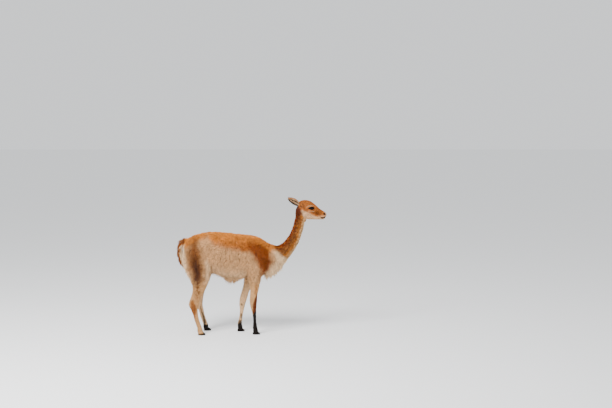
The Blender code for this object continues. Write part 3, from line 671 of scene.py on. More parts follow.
def ear_ring(side, distance, half_width, depth, cup, lean, count=18):
    """One section of an ear: an outer arc, and an inner arc that a cup above 0 makes hollow."""
    along = mirrored(EAR_DIRECTION, side)
    opening = mirrored(EAR_OPENING, side)
    opening = (opening - along * opening.dot(along)).normalized()
    across = along.cross(opening).normalized()
    centre = mirrored(EAR_ROOT, side) + along * distance + opening * lean
    points = []
    for k in range(count + 1):
        angle = math.pi * k / count
        points.append(centre + across * (half_width * math.cos(angle)) - opening * (depth * math.sin(angle)))
    for k in range(1, count):
        angle = math.pi * (count - k) / count
        inner = EAR_INNER_SHARE * half_width * math.cos(angle)
        points.append(centre + across * inner - opening * (depth * cup * math.sin(angle)))
    return points


def ear_mesh(side):
    """A long pointed ear with a hollow open side, on a smooth curve through its sections."""
    rings = []
    for share, wide, deep, cup, lean in smooth_rows(EAR_SIZES, EAR_STEPS):
        rings.append(ear_ring(side, EAR_LENGTH * EAR_SKIN_SHARE * share, wide, deep, cup, lean))
    return skin_rings(rings)


def mouth_line(points):
    """How far points lie above the line of the mouth, and how far the mouth reaches back to them."""
    above = points[:, 2] - MOUTH_Z - MOUTH_RISE * np.maximum(MOUTH_BEND_X - points[:, 0], 0)
    return above, ramp(points[:, 0], *MOUTH_CORNER_X) * (points[:, 2] < MOUTH_TOP_Z)


def lip_share(points):
    """Where the dark skin of the lips shows."""
    above, along = mouth_line(points)
    corner, more = LIP_BREADTHS
    thinned_in_front = 1 - LIP_FRONT_THINNING * ramp(points[:, 0], *LIP_FRONT_X)
    breadth = (corner + more * ramp(points[:, 0], *LIP_BACK_X)) * thinned_in_front
    return along * ramp(above + breadth, *LIP_LOWER_EDGE) * (1 - ramp(above, *LIP_UPPER_EDGE))


def model_face(mesh):
    """Gives the face its brows, cheekbones, lips, mouth line and split upper lip."""
    points, normals = mesh_points(mesh)
    x, y, z = points.T
    folded = as_left(points, points)
    rise = np.zeros(len(points))
    for centre, reach, height in FACE_FORMS:
        away = (folded - np.array(centre)) / np.array(reach)
        rise += height * np.exp(-np.sum(away**2, axis=1))
    above, along = mouth_line(points)
    depth, breadth = MOUTH_GROOVE
    rise -= depth * along * bell(above, breadth)
    height, breadth = LIP_SWELLING
    for lip in LIP_HEIGHTS:
        rise += height * along * bell(above - lip, breadth)
    depth, breadth = SPLIT_GROOVE
    split = ramp(x, *SPLIT_X) * ramp(z, *SPLIT_FOOT_Z) * (1 - ramp(z, *SPLIT_TOP_Z))
    rise -= depth * split * bell(y, breadth)
    set_points(mesh, points + normals * rise[:, None])


def head_mesh():
    """The head with lids, eye sockets, nostrils, the forms of the face, and ears."""
    pieces = [
        loft(SKULL, sides=48, steps=4, depth=HEAD_DEPTH),
        loft(JAW, sides=32, steps=4, depth=HEAD_DEPTH),
        loft(THROAT, sides=40, steps=3, depth=throat_depth),
    ]
    details, cutters = [], []
    for side, outward in (("left", 1), ("right", -1)):
        centre, turn = mirrored(EYE_CENTRE, side), eye_turn(side)
        lid = EYE_RADIUS + LID_THICKNESS
        details.append(ball_mesh(centre, (lid, lid * LID_LENGTH_SHARE, lid), turn))
        rim = mirrored(NOSTRIL_CENTRE + NOSTRIL_RIM_SHIFT, side)
        details.append(ball_mesh(rim, NOSTRIL_RIM_RADII, Matrix.Rotation(NOSTRIL_RIM_PITCH, 4, "Y")))
        cutters.append(ball_mesh(centre, (EYE_RADIUS - SOCKET_CLEARANCE,) * 3, turn, segments=48, rings=32))
        opening = centre + (turn @ Vector((EYE_RADIUS * LID_OPENING_PLACE, 0, 0)))
        cutters.append(ball_mesh(opening, LID_OPENING, turn, segments=48, rings=32))
        nostril = mirrored(NOSTRIL_CENTRE + NOSTRIL_SHIFT, side)
        yaw = Matrix.Rotation(-NOSTRIL_YAW * outward, 4, "Z")
        cutters.append(ball_mesh(nostril, NOSTRIL_RADII, yaw @ Matrix.Rotation(NOSTRIL_PITCH, 4, "Y")))
    base = remeshed(joined(pieces), HEAD_VOXEL, rounds=0)
    relaxed(base, strength=1.0, rounds=HEAD_SOFTENING)
    whole = remeshed(joined([base, *details]), HEAD_VOXEL, rounds=4)
    whole = combined(whole, cutters, "DIFFERENCE")
    whole = remeshed(whole, HEAD_VOXEL, rounds=3)
    model_face(whole)
    return combined(whole, [ear_mesh("left"), ear_mesh("right")], "UNION")


def build_skin():
    """One closed skin from the trunk, neck, head, legs, feet, ears and tail."""
    legs, leg_ends = legs_and_feet()
    body_parts = [
        loft(TRUNK, sides=64, steps=4, depth=trunk_depth),
        loft([TRUNK[-3], *NECK], sides=48, steps=4, depth=neck_depth),
        loft(TAIL, sides=24, steps=4, depth=TAIL_DEPTH),
        *legs,
    ]
    body = remeshed(joined(body_parts), BODY_VOXEL, BODY_SMOOTHING)
    points, _ = mesh_points(body)
    strength = SOFTENING * ramp(points[:, 2], *SOFT_TRUNK_Z) * (1 - ramp(-points[:, 0], *SOFT_TRUNK_BACKWARD))
    relaxed(body, strength, TRUNK_SOFTENING)
    whole = combined(body, [head_mesh()], "UNION")
    points, _ = mesh_points(whole)
    seam = bell(beyond(NAPE, points) - SEAM_PLACE, SEAM_BREADTH)
    relaxed(whole, SOFTENING * seam, SEAM_SOFTENING)
    return whole, leg_ends


# The colours of the coat, as on a screen
CREAM = (230, 187, 139)
WHITE = (248, 212, 166)
FLANK = (215, 164, 112)
TAN = (205, 125, 46)
MUZZLE_PALE = (214, 180, 142)
SADDLE_EDGE = (170, 92, 32)
# A darker brown for painted shade, with some dirt, along the lower edge of the belly
BELLY_SHADE_AND_DIRT = (150, 106, 66)
RUST = (143, 69, 13)
DEEP_RUST = (120, 57, 12)
THIGH_BROWN = (130, 74, 27)
THIGH_DARK = (66, 27, 3)
NECK_BACK = (124, 48, 8)
NECK_DARK = (82, 30, 7)
NECK_SIDE = (136, 79, 27)
NECK_FRONT = (216, 173, 119)
FACE = (180, 102, 39)
FACE_STREAK = (112, 58, 14)
FACE_CREAM = (220, 177, 133)
TAIL_BROWN = (124, 66, 20)
LEG_CREAM = (216, 165, 109)
LEG_TAN = (152, 88, 36)
LEG_BROWN = (106, 47, 7)
MUD = (26, 17, 12)
SKIN_DARK = (30, 22, 19)
EAR_DARK = (52, 34, 24)
EAR_BACK = (157, 91, 39)

# Marks on the side view of the trunk and the legs: colour, strength, softness, side, and a path of places
# with its half breadth at each. A side of 0 marks both sides, 1 the left one and -1 the right one.
THIGH_MARKS = [
    (THIGH_BROWN, 1.0, 0.090, 0, [
        (-0.497, 0.84, 0.024), (-0.500, 0.74, 0.054), (-0.488, 0.65, 0.058), (-0.472, 0.56, 0.048),
        (-0.468, 0.48, 0.036), (-0.470, 0.40, 0.020), (-0.474, 0.32, 0.004)
    ]),
    (THIGH_DARK, 0.85, 0.055, 0, [
        (-0.490, 0.68, 0.008), (-0.482, 0.62, 0.026), (-0.476, 0.56, 0.030), (-0.474, 0.50, 0.024),
        (-0.472, 0.44, 0.012), (-0.474, 0.37, 0.002)
    ]),
]
BODY_MARKS = [
    (TAN, 1.0, 0.050, 0, [
        (-0.61, 0.79, 0.030), (-0.56, 0.84, 0.055), (-0.47, 0.89, 0.050), (-0.39, 0.930, 0.045),
        (-0.30, 0.91, 0.090), (-0.20, 0.91, 0.115), (-0.10, 0.91, 0.140), (0.00, 0.88, 0.135),
        (0.08, 0.84, 0.110), (0.14, 0.80, 0.075), (0.21, 0.785, 0.03)
    ]),
    (SADDLE_EDGE, 0.55, 0.080, 0, [
        (-0.33, 0.82, 0.010), (-0.20, 0.80, 0.030), (-0.08, 0.80, 0.045), (0.03, 0.80, 0.045)
    ]),
    (RUST, 0.45, 0.040, 0, [(-0.13, 0.775, 0.008), (-0.05, 0.770, 0.020), (0.02, 0.770, 0.025)]),
    # Painted shade, with some dirt, along the lower edge of the belly where it turns under
    (BELLY_SHADE_AND_DIRT, 0.75, 0.070, 0, [
        (-0.36, 0.54, 0.004), (-0.28, 0.490, 0.016), (-0.18, 0.465, 0.030), (-0.08, 0.475, 0.026),
        (-0.02, 0.50, 0.012)
    ]),
    # Painted shade in the crease behind the elbow at the belly's edge, in dark brown
    (THIGH_DARK, 0.75, 0.034, 0, [(-0.033, 0.545, 0.004), (-0.040, 0.500, 0.014)]),
    # Painted shade in the fold between the flank and the thigh, and in a smaller fold in front of it, in the
    # thigh's brown
    (THIGH_BROWN, 0.70, 0.030, 0, [
        (-0.350, 0.635, 0.001), (-0.350, 0.575, 0.008), (-0.354, 0.530, 0.010)
    ]),
    (THIGH_BROWN, 0.40, 0.024, 0, [(-0.316, 0.610, 0.001), (-0.314, 0.550, 0.006)]),
    *THIGH_MARKS,
    (WHITE, 0.9, 0.035, 0, [
        (-0.600, 0.78, 0.010), (-0.597, 0.70, 0.020), (-0.588, 0.62, 0.020), (-0.565, 0.54, 0.017),
        (-0.540, 0.47, 0.012)
    ]),
    (WHITE, 0.6, 0.04, 0, [
        (-0.385, 0.66, 0.012), (-0.380, 0.58, 0.020), (-0.385, 0.50, 0.018), (-0.41, 0.42, 0.010)
    ]),
    (WHITE, 0.9, 0.05, 0, [
        (0.215, 0.73, 0.015), (0.265, 0.69, 0.04), (0.285, 0.66, 0.06), (0.25, 0.60, 0.06),
        (0.20, 0.555, 0.045), (0.15, 0.53, 0.015)
    ]),
    (RUST, 1.0, 0.055, 0, [
        (-0.01, 0.80, 0.020), (0.045, 0.770, 0.048), (0.095, 0.720, 0.066), (0.122, 0.655, 0.058),
        (0.120, 0.60, 0.040), (0.105, 0.56, 0.016)
    ]),
    (DEEP_RUST, 0.8, 0.05, 0, [(0.100, 0.70, 0.014), (0.135, 0.645, 0.026), (0.125, 0.60, 0.014)]),
    (LEG_BROWN, 0.6, 0.035, 0, [(0.085, 0.55, 0.016), (0.070, 0.50, 0.006)]),
]
LEG_MARKS = [
    (LEG_TAN, 0.6, 0.02, 0, [(0.050, 0.46, 0.010), (0.038, 0.37, 0.012)]),
    (LEG_BROWN, 1.0, 0.018, -1, [
        (0.052, 0.360, 0.004), (0.042, 0.300, 0.017), (0.036, 0.24, 0.022), (0.036, 0.20, 0.024)
    ]),
    (MUD, 1.0, 0.012, -1, [
        (0.044, 0.205, 0.006), (0.030, 0.165, 0.022), (0.034, 0.10, 0.030), (0.04, 0.03, 0.05)
    ]),
    (MUD, 0.8, 0.010, 1, [(-0.092, 0.250, 0.006), (-0.091, 0.238, 0.006)]),
    (MUD, 0.8, 0.010, 1, [(-0.097, 0.158, 0.006), (-0.098, 0.125, 0.006)]),
    (MUD, 0.85, 0.016, 1, [(-0.108, 0.092, 0.014), (-0.104, 0.066, 0.022)]),
    (MUD, 1.0, 0.012, 1, [(-0.11, 0.045, 0.03), (-0.09, 0.01, 0.05)]),
    (LEG_TAN, 0.25, 0.060, 0, [(-0.49, 0.42, 0.03), (-0.49, 0.10, 0.03)]),
    (LEG_TAN, 0.95, 0.026, -1, [(-0.520, 0.300, 0.014), (-0.514, 0.235, 0.026), (-0.506, 0.16, 0.012)]),
    (LEG_BROWN, 0.45, 0.024, -1, [
        (-0.508, 0.290, 0.002), (-0.504, 0.245, 0.010), (-0.502, 0.20, 0.004)
    ]),
    (LEG_TAN, 0.6, 0.02, 1, [(-0.530, 0.285, 0.010), (-0.520, 0.225, 0.012)]),
    (MUD, 0.85, 0.010, 1, [
        (-0.470, 0.225, 0.003), (-0.458, 0.170, 0.006), (-0.440, 0.120, 0.008), (-0.430, 0.07, 0.012)
    ]),
    (MUD, 1.0, 0.012, 1, [(-0.45, 0.045, 0.02), (-0.41, 0.02, 0.04)]),
    (MUD, 0.9, 0.010, -1, [(-0.46, 0.004, 0.012), (-0.41, 0.002, 0.016)]),
]
HEAD_MARKS = [
    (FACE_CREAM, 1.0, 0.022, 0, [
        (0.452, 1.095, 0.016), (0.475, 1.070, 0.032), (0.510, 1.045, 0.038), (0.560, 1.030, 0.028),
        (0.610, 1.028, 0.018), (0.665, 1.020, 0.016)
    ]),
    (FACE_STREAK, 0.90, 0.024, 0, [
        (0.548, 1.094, 0.005), (0.585, 1.080, 0.010), (0.618, 1.066, 0.005)
    ]),
    (FACE_STREAK, 0.55, 0.030, 0, [
        (0.463, 1.160, 0.006), (0.474, 1.130, 0.010), (0.488, 1.108, 0.008)
    ]),
    (FACE_STREAK, 0.45, 0.030, 0, [(0.590, 1.120, 0.004), (0.625, 1.098, 0.008)]),
    (FACE_CREAM, 0.70, 0.014, 0, [
        (0.492, 1.131, 0.001), (0.507, 1.1445, 0.004), (0.530, 1.1505, 0.005), (0.556, 1.148, 0.001)
    ]),
    (FACE_STREAK, 0.75, 0.034, 0, [
        (0.572, 1.096, 0.004), (0.600, 1.090, 0.012), (0.624, 1.084, 0.006)
    ]),
    (FACE_CREAM, 0.65, 0.016, 0, [(0.515, 1.099, 0.005), (0.556, 1.100, 0.003)]),
    (FACE_CREAM, 0.6, 0.022, 0, [(0.600, 1.058, 0.002), (0.625, 1.055, 0.006), (0.650, 1.054, 0.009)]),
    (MUZZLE_PALE, 0.85, 0.030, 0, [
        (0.656, 1.092, 0.001), (0.668, 1.080, 0.004), (0.671, 1.060, 0.010)
    ]),
    (SKIN_DARK, 1.0, 0.005, 0, [(0.644, 1.077, 0.004), (0.653, 1.071, 0.006)]),
    (FACE_STREAK, 0.8, 0.014, 0, [(0.462, 1.166, 0.004), (0.470, 1.148, 0.006), (0.466, 1.130, 0.004)]),
    (SKIN_DARK, 0.75, 0.010, 0, [(0.440, 1.146, 0.006), (0.452, 1.138, 0.006)]),
    (NECK_DARK, 0.95, 0.026, 0, [(0.408, 1.140, 0.014), (0.420, 1.110, 0.023), (0.432, 1.075, 0.025)]),
]

# Where one part of the body passes into the next: the ranges over which a part's share rises or falls, of
# distance beyond the neck's two ends, of distance from the tail, an ear and the bib, of height and so on
HEAD_EDGE = (-0.014, 0.010)
NECK_EDGE = (-0.03, 0.05)
LEG_TOP_Z = (0.42, 0.52)
TAIL_REACH = (0.030, 0.040)
TAIL_BACKWARD = (0.588, 0.602)
EAR_EDGE = (0.004, 0.018)
EAR_REACH = 0.03
BIB_PATH = ((0.30, 0, 0.64), (0.26, 0, 0.605), (0.22, 0, 0.57), (0.185, 0, 0.555))
BIB_REACH = (0.035, 0.06)
BIB_HALF_WIDTH = (0.045, 0.075)
BELLY_TOP_Z = (0.50, 0.545)
BELLY_REAR_X = (-0.36, -0.30)
BELLY_FRONT_X = (-0.05, -0.01)
BACK_Z = (0.74, 0.83)

# The dark skin round an eye, with painted shade of its lids and lashes: half its length, its greatest half
# height and how fast that falls to the corners
RIM_HALF_LENGTH = 0.0310
RIM_HALF_HEIGHT = 0.0160
RIM_TAPER = 0.20
RIM_LEAST = 0.004
RIM_SHIFT = (-0.001, 0.0012)
RIM_EDGE = (0.85, 1.15)
NOSTRIL_PAINT_SHIFT = Vector((0.0, 0.001, 0))
NOSTRIL_PAINT_EDGE = (0.0085, 0.0110)
NOSTRIL_BARE_SHIFT = Vector((0.002, 0.004, 0))

# Lumps of random colour: the size of the lumps and the numbers that tell one field from another
WOBBLE = (0.030, (1, 2, 3))
FINE = (0.009, (4, 5, 6))

# The trunk's and the legs' plain colours: how far skin that faces down or inwards turns pale, and how far the
# outer marks fade on skin that faces inwards
FACING_DOWN = (0.1, 0.7)
FACING_INWARDS = (0.0, 0.8)
MARK_FADE = (0.15, 0.60)
THIGH_SPECKLE = (0.60, 0.9)
TAIL_FACING_FRONT = (0.0, 0.6)

# The slanting border between the trunk's colours and the neck's
BORDER_SHIFT = 0.016
BORDER_SLANT = 0.064
BORDER_EDGE = (-0.022, 0.022)

# The neck's colours, by the place across it from its back edge to its front edge and by the distance beyond
# the nape: where each begins, and how strongly it shows
ACROSS_BEND = (0.06, 0.05)
SIDE_ACROSS = (0.10, 0.45)
TAN_ACROSS = (0.60, 0.80)
FRONT_ACROSS = (0.78, 0.94)
FRONT_SHIFT = 0.05
FRONT_WIDENING = 0.15
FRONT_WIDENING_PLACE = (-0.22, -0.04)
NAPE_ACROSS = (0.25, 0.55)
NAPE_PLACE = (-0.09, -0.02)
DARK_ACROSS = (0.5, 0.8)
TAN_STRENGTH = 0.6
PALE_SPOTS = 0.45
PALE_LUMPS = (0.20, 0.55)
DARK_SPOTS = 0.55
DARK_LUMPS = (0.15, 0.50)
NAPE_STRENGTH = 0.85

# The ears' colours, by the place across the ear and by how far the skin faces its open side
EAR_PALE_MIDDLE = (0.05, 0.26)
EAR_PALE_EDGE = (0.60, 0.80)
EAR_FACING_OUT = (0.0, 0.5)
LEAST_EAR_WIDTH = 0.004
LIP_STRENGTH = 0.95

# How far lumps of random shade darken and lighten the face, and the whole coat: strength, size and number
FACE_LUMPS = ((0.15, 0.022, 11), (0.11, 0.010, 12))
COAT_LUMPS = ((0.07, 0.05, 7), (0.07, 0.014, 8))

# The way that each part's coat lies, and where the flank's passes into the back's and the chest's
FLANK_LIE = np.array((-0.22, 0, -1.0))
BACK_LIE = np.array((-1.32, 0, -0.2))
BACK_LIE_Z = (0.72, 0.87)
CHEST_LIE = np.array((0.05, 0, -1.0))
CHEST_X = (0.06, 0.16)
CHEST_TOP_Z = (0.70, 0.81)
NECK_DROOP = np.array((-0.25, 0, -0.35))
LEG_LIE = np.array((-0.12, 0, -1.0))
FACE_LIE_X = -0.93
FACE_LIE_Z = -0.10
CROWN_RISE = 0.45
CROWN_RISE_Z = (1.08, 1.15)
CROWN_PARTING = 0.5
CROWN_PARTING_Z = (1.10, 1.16)
CROWN_PARTING_WIDTH = 0.012

# How far the two kinds of lumps bend the marks on the trunk, the legs and the face: the wobble, the fine one
BODY_BEND = (0.011, 0.006)
LEG_BEND = (0.004, 0.003)
FACE_BEND = (0.0020, 0.0035)

# The number of places that tufts can grow from, and the numbers that tell one cell of space from another
SAMPLE_COUNT = 900000
CELL_KEYS = (4000037, 2003, 1)


def mark_share(points, strength, soft, side, path):
    """How strongly a mark colours points."""
    best = np.full(len(points), np.inf)
    flat = points[:, (0, 2)]
    for (ax, az, a_wide), (bx, bz, b_wide) in zip(path, path[1:]):
        start, along = np.array((ax, az)), np.array((bx - ax, bz - az))
        t = np.clip((flat - start) @ along / (along @ along), 0, 1)
        distance = np.linalg.norm(flat - start - t[:, None] * along, axis=1)
        best = np.minimum(best, distance - (a_wide + (b_wide - a_wide) * t))
    share = strength * (1 - ramp(best, -soft / 2, soft / 2))
    return share if side == 0 else share * (points[:, 1] * side > 0)


def linear(colour):
    """A colour of the screen, from 0 to 255, as the light that it stands for."""
    share = np.asarray(colour, float) / 255
    return np.where(share <= 0.04045, share / 12.92, ((share + 0.055) / 1.055) ** 2.4)


def painted(colours, marks, points, weight=1.0):
    """Colours with marks laid over them, one after the other, where the marks are read at points."""
    for colour, *mark in marks:
        colours = mix(colours, linear(colour), mark_share(points, *mark) * weight)
    return colours


def body_shares(points):
    """The share of each part of the body at points."""
    x, z = points[:, 0], points[:, 2]
    head = ramp(beyond(NAPE, points), *HEAD_EDGE)
    neck = ramp(beyond(NECK_ROOT, points), *NECK_EDGE) * (1 - head)
    tail_distance, _ = path_place(points, middles(TAIL))
    tail = (1 - ramp(tail_distance, *TAIL_REACH)) * ramp(-x, *TAIL_BACKWARD)
    leg = (1 - ramp(z, *LEG_TOP_Z)) * (1 - tail)
    offset, along = as_left(points, points) - np.array(EAR_ROOT), np.array(EAR_DIRECTION)
    place = offset @ along
    off = np.linalg.norm(offset - place[:, None] * along, axis=1)
    ear = ramp(place, *EAR_EDGE) * (off < EAR_REACH)
    head = np.maximum(head, ear)
    neck = neck * (1 - ear)
    trunk = np.clip(1 - head - neck - tail - leg, 0, 1)
    to_bib, _ = path_place(points * (1, 0, 1), BIB_PATH)
    bib = (1 - ramp(to_bib, *BIB_REACH)) * (1 - ramp(np.abs(points[:, 1]), *BIB_HALF_WIDTH)) * (1 - head)
    belly = 1 - ramp(z, *BELLY_TOP_Z)
    belly = belly * ramp(x, *BELLY_REAR_X) * (1 - ramp(x, *BELLY_FRONT_X)) * (trunk > 0.5)
    return {
        "trunk": trunk, "leg": leg, "neck": neck, "head": head, "tail": tail,
        "ear": ear, "wisp": trunk, "bib": bib, "belly": belly,
    }


def neck_across(points):
    """Where points lie from the neck's back edge, at 0, to its front edge, at 1."""
    flat = points * (1, 0, 1)
    to_back, _ = path_place(flat, [(cut.ax, 0, cut.az) for cut in NECK])
    to_front, _ = path_place(flat, [(cut.bx, 0, cut.bz) for cut in NECK])
    return to_back / np.maximum(to_back + to_front, 1e-6)


def eye_rim(points):
    """Where points lie from an eye's centre, at 0, to the edge of the dark skin and painted shade round it, at
    1.
    """
    back_to_eye = np.array(eye_turn("left").to_3x3()).T
    _, along, up = back_to_eye @ (as_left(points, points) - np.array(EYE_CENTRE)).T
    half_height = np.maximum(RIM_HALF_HEIGHT - RIM_TAPER * np.abs(along), RIM_LEAST)
    return np.hypot((along + RIM_SHIFT[0]) / RIM_HALF_LENGTH, (up + RIM_SHIFT[1]) / half_height)


def ear_level(points):
    """Where points lie across an ear, from its lower edge at -1 to its upper edge at 1."""
    shares, widths, *_ = zip(*EAR_SIZES)
    along = np.array(EAR_DIRECTION)
    offset = as_left(points, points) - np.array(EAR_ROOT)
    half = np.interp(offset @ along / EAR_LENGTH, shares, widths)
    up = unit(np.array((0, 0, 1.0)) - along * along[2])
    return offset @ up / np.maximum(half, LEAST_EAR_WIDTH)


def ear_opening(points, normals):
    """How far the skin of an ear faces its open side."""
    return as_left(points, normals) @ np.array(Vector(EAR_OPENING))


def neck_colour(points, across):
    """The colour of the neck: dark behind and at the nape, pale in front, and mottled."""
    to_head = beyond(NAPE, points)
    frontal = across + FRONT_SHIFT + FRONT_WIDENING * ramp(to_head, *FRONT_WIDENING_PLACE)
    pale = ramp(noise(points, size=0.013, seed=9), *PALE_LUMPS)
    dark = ramp(noise(points, size=0.016, seed=10), *DARK_LUMPS) * (1 - ramp(across, *DARK_ACROSS))
    nape = ramp(to_head, *NAPE_PLACE) * (1 - ramp(across, *NAPE_ACROSS))
    colours = mix(linear(NECK_BACK), linear(NECK_SIDE), ramp(across, *SIDE_ACROSS))
    for colour, share in (
        (TAN, TAN_STRENGTH * ramp(frontal, *TAN_ACROSS)),
        (NECK_FRONT, ramp(frontal, *FRONT_ACROSS)),
        (TAN, PALE_SPOTS * pale),
        (NECK_DARK, DARK_SPOTS * dark),
        (NECK_DARK, NAPE_STRENGTH * nape),
    ):
        colours = mix(colours, linear(colour), share)
    return colours


def lumps_of(points, lumps):
    """Random amounts over space from several kinds of lumps."""
    return sum(strength * noise(points, size, seed) for strength, size, seed in lumps)


def head_colour(points, face):
    """The colour of the head but for its ears. The marks and the lips are read at the places of face."""
    colours = painted(linear(FACE), HEAD_MARKS, face)
    colours = colours * (1 + lumps_of(points, FACE_LUMPS))[:, None]
    nostril = np.array(NOSTRIL_CENTRE + NOSTRIL_PAINT_SHIFT)
    to_nostril = np.linalg.norm(as_left(points, points) - nostril, axis=1)
    for share in (
        # The dark skin round the eyes, which also paints the shade of the lids and lashes
        1 - ramp(eye_rim(points), *RIM_EDGE),
        LIP_STRENGTH * lip_share(face),
        1 - ramp(to_nostril, *NOSTRIL_PAINT_EDGE),
    ):
        colours = mix(colours, linear(SKIN_DARK), share)
    return colours


def ear_colour(points, normals):
    """The colour of an ear: brown behind, and dark inside with pale hair on its middle and upper edge."""
    level = ear_level(points)
    middle, breadth = EAR_PALE_MIDDLE
    inside = mix(linear(EAR_DARK), linear(FACE_CREAM), bell(level - middle, breadth))
    inside = mix(inside, linear(FACE_CREAM), ramp(level, *EAR_PALE_EDGE))
    return mix(linear(EAR_BACK), inside, ramp(ear_opening(points, normals), *EAR_FACING_OUT))


def coat_colour(points, normals):
    """The colour of the coat at points of the skin, with all the markings."""
    shares = body_shares(points)
    wobble, fine = (
        np.stack([noise(points, size, seed) for seed in seeds], axis=1) for size, seeds in (WOBBLE, FINE)
    )
    bent, close, face = (
        points + wide * wobble + narrow * fine for wide, narrow in (BODY_BEND, LEG_BEND, FACE_BEND)
    )
    inward = -normals[:, 1] * np.sign(points[:, 1])
    outer = 1 - ramp(inward, *MARK_FADE)
    trunk = mix(linear(FLANK), linear(CREAM), ramp(-normals[:, 2], *FACING_DOWN))
    trunk = painted(trunk, BODY_MARKS, bent, outer)
    leg = mix(linear(LEG_CREAM), linear(CREAM), ramp(inward, *FACING_INWARDS))
    leg = painted(leg, LEG_MARKS, close)
    even, speckled = THIGH_SPECKLE
    leg = painted(leg, THIGH_MARKS, bent, outer * (even + speckled * noise(points, size=0.008, seed=14)))
    across = neck_across(points) + ACROSS_BEND[0] * wobble[:, 0] + ACROSS_BEND[1] * fine[:, 0]
    border = ramp(beyond(NECK_ROOT, bent) + BORDER_SHIFT - BORDER_SLANT * across, *BORDER_EDGE)
    both = shares["neck"] + shares["trunk"]
    parts = (
        (trunk, both * (1 - border)),
        (leg, shares["leg"]),
        (neck_colour(points, across), both * border),
        (mix(head_colour(points, face), ear_colour(points, normals), shares["ear"]), shares["head"]),
        (mix(linear(TAIL_BROWN), linear(WHITE), ramp(normals[:, 0], *TAIL_FACING_FRONT)), shares["tail"]),
    )
    total = sum(colours * share[:, None] for colours, share in parts)
    total /= np.maximum(sum(share for _, share in parts), 1e-3)[:, None]
    return np.clip(total * (1 + lumps_of(points, COAT_LUMPS))[:, None], 0.0, 1.0)


def ways(points, x, y, z):
    """A direction at each of some points, from its parts, which are one number or one for each point."""
    return np.stack([part * np.ones(len(points)) for part in (x, y, z)], axis=1)


def coat_lie(points, shares):
    """The way that the coat lies at points, before it is laid on the skin."""
    x, y, z = points.T
    trunk = mix(FLANK_LIE, BACK_LIE, ramp(z, *BACK_LIE_Z))
    trunk = mix(trunk, CHEST_LIE, ramp(x, *CHEST_X) * (1 - ramp(z, *CHEST_TOP_Z)))
    _, up_neck = path_place(points, middles(NECK))
    _, down_tail = path_place(points, middles(TAIL))
    outwards = CROWN_PARTING * np.tanh(y / CROWN_PARTING_WIDTH) * ramp(z, *CROWN_PARTING_Z)
    head = ways(points, FACE_LIE_X, outwards, FACE_LIE_Z + CROWN_RISE * ramp(z, *CROWN_RISE_Z))
    ear = ways(points, EAR_DIRECTION.x, EAR_DIRECTION.y * np.sign(y), EAR_DIRECTION.z)
    lies = {
        "trunk": trunk,
        "neck": NECK_DROOP - up_neck,
        "head": mix(head, ear, shares["ear"]),
        "leg": LEG_LIE,
        "tail": down_tail,
    }
    return unit(sum(unit(lie) * shares[name][:, None] for name, lie in lies.items()))


def skin_samples(mesh, count, rng):
    """Random points of a mesh with their normals, spread by area."""
    mesh.calc_loop_triangles()
    corners = np.empty(len(mesh.loop_triangles) * 3, np.int32)
    mesh.loop_triangles.foreach_get("vertices", corners)
    corners = corners.reshape(-1, 3)
    points, normals = mesh_points(mesh)
    a, b, c = (points[corners[:, k]] for k in range(3))
    areas = np.linalg.norm(np.cross(b - a, c - a), axis=1) / 2
    steps = (np.arange(count) + rng.random(count)) / count * areas.sum()
    picked = np.minimum(np.searchsorted(np.cumsum(areas), steps), len(areas) - 1)
    u, v = rng.random(count), rng.random(count)
    flip = u + v > 1
    u, v = np.where(flip, 1 - u, u)[:, None], np.where(flip, 1 - v, v)[:, None]
    place = a[picked] * (1 - u - v) + b[picked] * u + c[picked] * v
    na, nb, nc = (normals[corners[picked, k]] for k in range(3))
    return place, unit(na * (1 - u - v) + nb * u + nc * v)


def thinned(points, spacing):
    """The numbers of points that are left when each small cell of space keeps one."""
    cells = np.floor(points / spacing).astype(np.int64)
    _, first = np.unique(cells @ np.array(CELL_KEYS), return_index=True)
    return np.sort(first)


# The kinds of coat: the part that it covers, the spacing of its tufts and their length, width and height
# above the skin, how far those of one clump draw together, how much they wave and hang, the clumps'
# spacing, the rings of a tuft, and the finish
Coat = namedtuple("Coat", "part spacing length width height draw wave hang clump rings slot")
COATS = [
    Coat("trunk", 0.0049, 0.032, 0.0044, 0.0145, 0.34, 0.06, 0.0, 0.026, 2, "fleece"),
    Coat("neck", 0.0041, 0.017, 0.0030, 0.0078, 0.35, 0.05, 0.0, 0.012, 2, "neck_wool"),
    Coat("head", 0.0021, 0.0078, 0.0011, 0.0014, 0.20, 0.03, 0.0, 0.006, 2, "short_fur"),
    Coat("leg", 0.0042, 0.0110, 0.0022, 0.0022, 0.20, 0.02, 0.0, 0.010, 2, "leg_fur"),
    Coat("tail", 0.0044, 0.042, 0.0040, 0.0100, 0.35, 0.06, 0.3, 0.018, 3, "neck_wool"),
]
LOOSE_COATS = [
    Coat("wisp", 0.0095, 0.038, 0.0017, 0.0170, 0.25, 0.10, 0.1, 0.030, 3, "fleece"),
    Coat("ear_hair", 0.0036, 0.017, 0.0011, 0.0045, 0.10, 0.06, 0.0, 0.008, 2, "short_fur"),
    Coat("bib", 0.0060, 0.046, 0.0036, 0.0100, 0.30, 0.07, 0.6, 0.020, 4, "fleece"),
    Coat("belly", 0.0060, 0.042, 0.0032, 0.0050, 0.45, 0.07, 0.8, 0.022, 3, "fleece"),
]

# How much the tufts differ in their way, length and height: from clump to clump, and from tuft to tuft
TURNS = (0.16, 0.10)
LENGTHS = (0.12, 0.14)
HEIGHTS = (0.20, 0.16)
LENGTH_RANGE = (0.6, 1.4)
HEIGHT_RANGE = (0.45, 1.5)
WIDTH_RANGE = (0.75, 1.25)

# How freely a hanging tuft leaves the skin, how far its tip drops, and how late it draws towards its clump
HANG_FREEDOM = 0.8
HANG_DROP = 0.5
DRAW_POWER = 1.2

